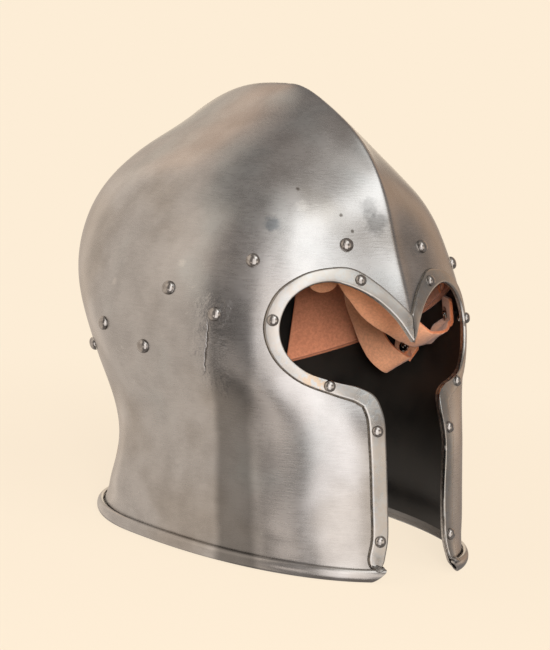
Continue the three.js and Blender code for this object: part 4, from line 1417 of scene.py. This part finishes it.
build_headband()
for side, sign in SIDES:
    for place, start, end in LOBE_ANGLES:
        build_lobe(f"liner_lobe_{place}_{side}", sign, start, end)


# Camera, at the place worked out from the photograph

CAMERA_AT = (-0.76525, -0.89456 + AXIS_Y, 0.26562)
CAMERA_RIGHT = (0.76349, -0.63985, 0.08757)
CAMERA_UP = (0.00712, 0.14393, 0.98956)
CAMERA_BACK = (-0.64578, -0.7549, 0.11444)
FOCAL_PX = 1925.29
CENTRE_PX = (270.28, 312.34)
IMAGE_PX = (550, 650)


def build_camera():
    data = bpy.data.cameras.new("camera")
    data.sensor_fit = "VERTICAL"
    data.sensor_height = 36.0
    data.lens = FOCAL_PX * data.sensor_height / IMAGE_PX[1]
    data.shift_x = (IMAGE_PX[0] / 2 - CENTRE_PX[0]) / IMAGE_PX[1]
    data.shift_y = (CENTRE_PX[1] - IMAGE_PX[1] / 2) / IMAGE_PX[1]
    data.clip_start = 0.05
    data.clip_end = 50
    camera = add_object("camera", data)
    turn = Matrix((CAMERA_RIGHT, CAMERA_UP, CAMERA_BACK)).transposed().to_4x4()
    camera.matrix_world = Matrix.Translation(CAMERA_AT) @ turn
    bpy.context.scene.camera = camera


build_camera()


# Studio

BACKDROP = (0.982, 0.847, 0.672)
ROOM = (0.28, 0.25, 0.23)

# Bright parts of the room, as the steel shows them: the bearing of the middle and half the width in
# degrees from the front towards the wearer's left, the height and half the height in degrees, how
# soft the edge is, and the light's colour
STUDIO_PANELS = (
    ("front window", -1, 24, 48, 12, 12, (1.32, 1.36, 1.36)),
    ("above the front", -6, 38, 66, 23, 26, (0.62, 0.61, 0.58)),
    ("side window", -27, 23, 1, 39, 10, (1.35, 1.28, 1.24)),
    ("paper before the helmet", 11, 14, 0, 13, 10, (0.82, 0.74, 0.65)),
    ("bright pane", -23, 13, 19, 12, 14, (0.35, 0.36, 0.36)),
    ("right wall", -139, 50, 0, 60, 10, (0.48, 0.41, 0.34)),
    ("right lamp", -110, 16, 30, 14, 14, (0.24, 0.21, 0.18)),
    ("stool", -70, 9, -12, 10, 6, (0.8, 0.7, 0.62)),
    ("dark stand", -99, 7, -12, 12, 8, (-0.34, -0.29, -0.24)),
    ("left of the front", 27, 10, 15, 22, 12, (0.45, 0.38, 0.32)),
    ("left wall", 104, 13, 20, 28, 16, (0.32, 0.18, 0.08)),
    ("dark left of the keel", 82, 11, 20, 16, 10, (-0.13, -0.165, -0.17)),
    ("bright foot of the left wall", 90, 8, 0, 6, 6, (0.45, 0.36, 0.28)),
    ("paper past the left", 138, 12, 3, 18, 12, (1.1, 0.9, 0.65)),
    ("back wall", 165, 12, 10, 31, 14, (0.44, 0.36, 0.28)),
    ("warm patch above the back", 168, 12, 38, 8, 10, (0.2, 0.08, 0.02)),
    ("dark above the back", 130, 25, 60, 20, 14, (-0.13, -0.12, -0.11)),
    ("ceiling", 0, 190, 84, 9, 12, (0.08, 0.07, 0.06)),
)


def studio_color(n):
    x, y, z = n.parts(n.add("ShaderNodeTexCoord").outputs["Generated"])
    bearing_angle = n.bearing(x, y)
    height_angle = n.math("DEGREES", n.math("ARCSINE", z))
    color = ROOM
    for _, middle, half, height, half_height, soft, light in STUDIO_PANELS:
        across = n.math("WRAP", n.math("SUBTRACT", bearing_angle, middle), 180.0, -180.0)
        up = n.math("SUBTRACT", height_angle, height)
        mask = n.times(n.window(across, half, soft), n.window(up, half_height, soft))
        color = n.mix(mask, color, light, "ADD")
    return color


def build_world():
    """The camera sees pale paper, and everything else sees the room's panels."""
    world = bpy.data.worlds.new("studio")
    world.use_nodes = True
    n = Nodes("studio", world.node_tree)
    room = world.node_tree.nodes["Background"]
    n.link(studio_color(n), room.inputs["Color"])
    paper = n.add("ShaderNodeBackground")
    n.link(BACKDROP, paper.inputs["Color"])
    seen = n.add("ShaderNodeLightPath").outputs["Is Camera Ray"]
    n.blend(seen, room.outputs[0], paper.outputs[0], "World Output")
    bpy.context.scene.world = world


# A broad lamp, low before the near side, which lights leather and paper
LAMP_BEARING = math.radians(-36)
LAMP_HEIGHT = math.radians(13)
LAMP_DISTANCE = 2.2
LAMP_SIZE = 0.6
LAMP_POWER = 62.0
LAMP_AIM = Vector((0, 0, 0.13))


def build_lamp():
    data = bpy.data.lights.new("front_lamp", "AREA")
    data.shape = "SQUARE"
    data.size = LAMP_SIZE
    data.energy = LAMP_POWER
    lamp = add_object("front_lamp", data)
    level = math.cos(LAMP_HEIGHT)
    way = Vector((math.sin(LAMP_BEARING) * level, -math.cos(LAMP_BEARING) * level, math.sin(LAMP_HEIGHT)))
    lamp.location = LAMP_AIM + way * LAMP_DISTANCE
    lamp.rotation_euler = way.to_track_quat("Z", "Y").to_euler()
    lamp.visible_glossy = False


FLOOR_SIZE = 3.0
FLOOR_DROP = 0.0005
# How dark the shadow under the helmet is, and between which distances from the middle it fades
FLOOR_SHADOW = 0.12
FLOOR_FADE = (0.22, 0.7)
PAPER_GRAIN = (300, 2, 0.5)
PAPER_BUMP = (0.02, 0.0002)


def floor_material():
    n = Nodes("floor_paper")
    n.set(Base_Color=BACKDROP, Roughness=0.9, Normal=n.bump(n.noise(*PAPER_GRAIN), *PAPER_BUMP))
    glow = n.add("ShaderNodeEmission")
    n.link(BACKDROP, glow.inputs["Color"])
    reach = n.add("ShaderNodeVectorMath", operation="LENGTH")
    n.link(n.place(), reach.inputs[0])
    bright = n.fade(reach.outputs["Value"], *FLOOR_FADE, 1 - FLOOR_SHADOW, 1.0)
    seen = n.times(n.add("ShaderNodeLightPath").outputs["Is Camera Ray"], bright)
    n.blend(seen, n.shader.outputs[0], glow.outputs[0], "Material Output")
    return n.material


def build_floor():
    """Pale paper, which the camera sees at the backdrop's brightness with a faint shadow."""
    mesh = bpy.data.meshes.new("floor")
    corners = [(-1, -1), (1, -1), (1, 1), (-1, 1)]
    mesh.from_pydata([(x * FLOOR_SIZE, y * FLOOR_SIZE, 0) for x, y in corners], [], [(0, 1, 2, 3)])
    mesh.materials.append(floor_material())
    floor = add_object("floor", mesh)
    floor.location.z = -FLOOR_DROP
    floor.visible_glossy = False


build_world()
build_lamp()
build_floor()

bpy.context.scene.view_settings.view_transform = "Standard"
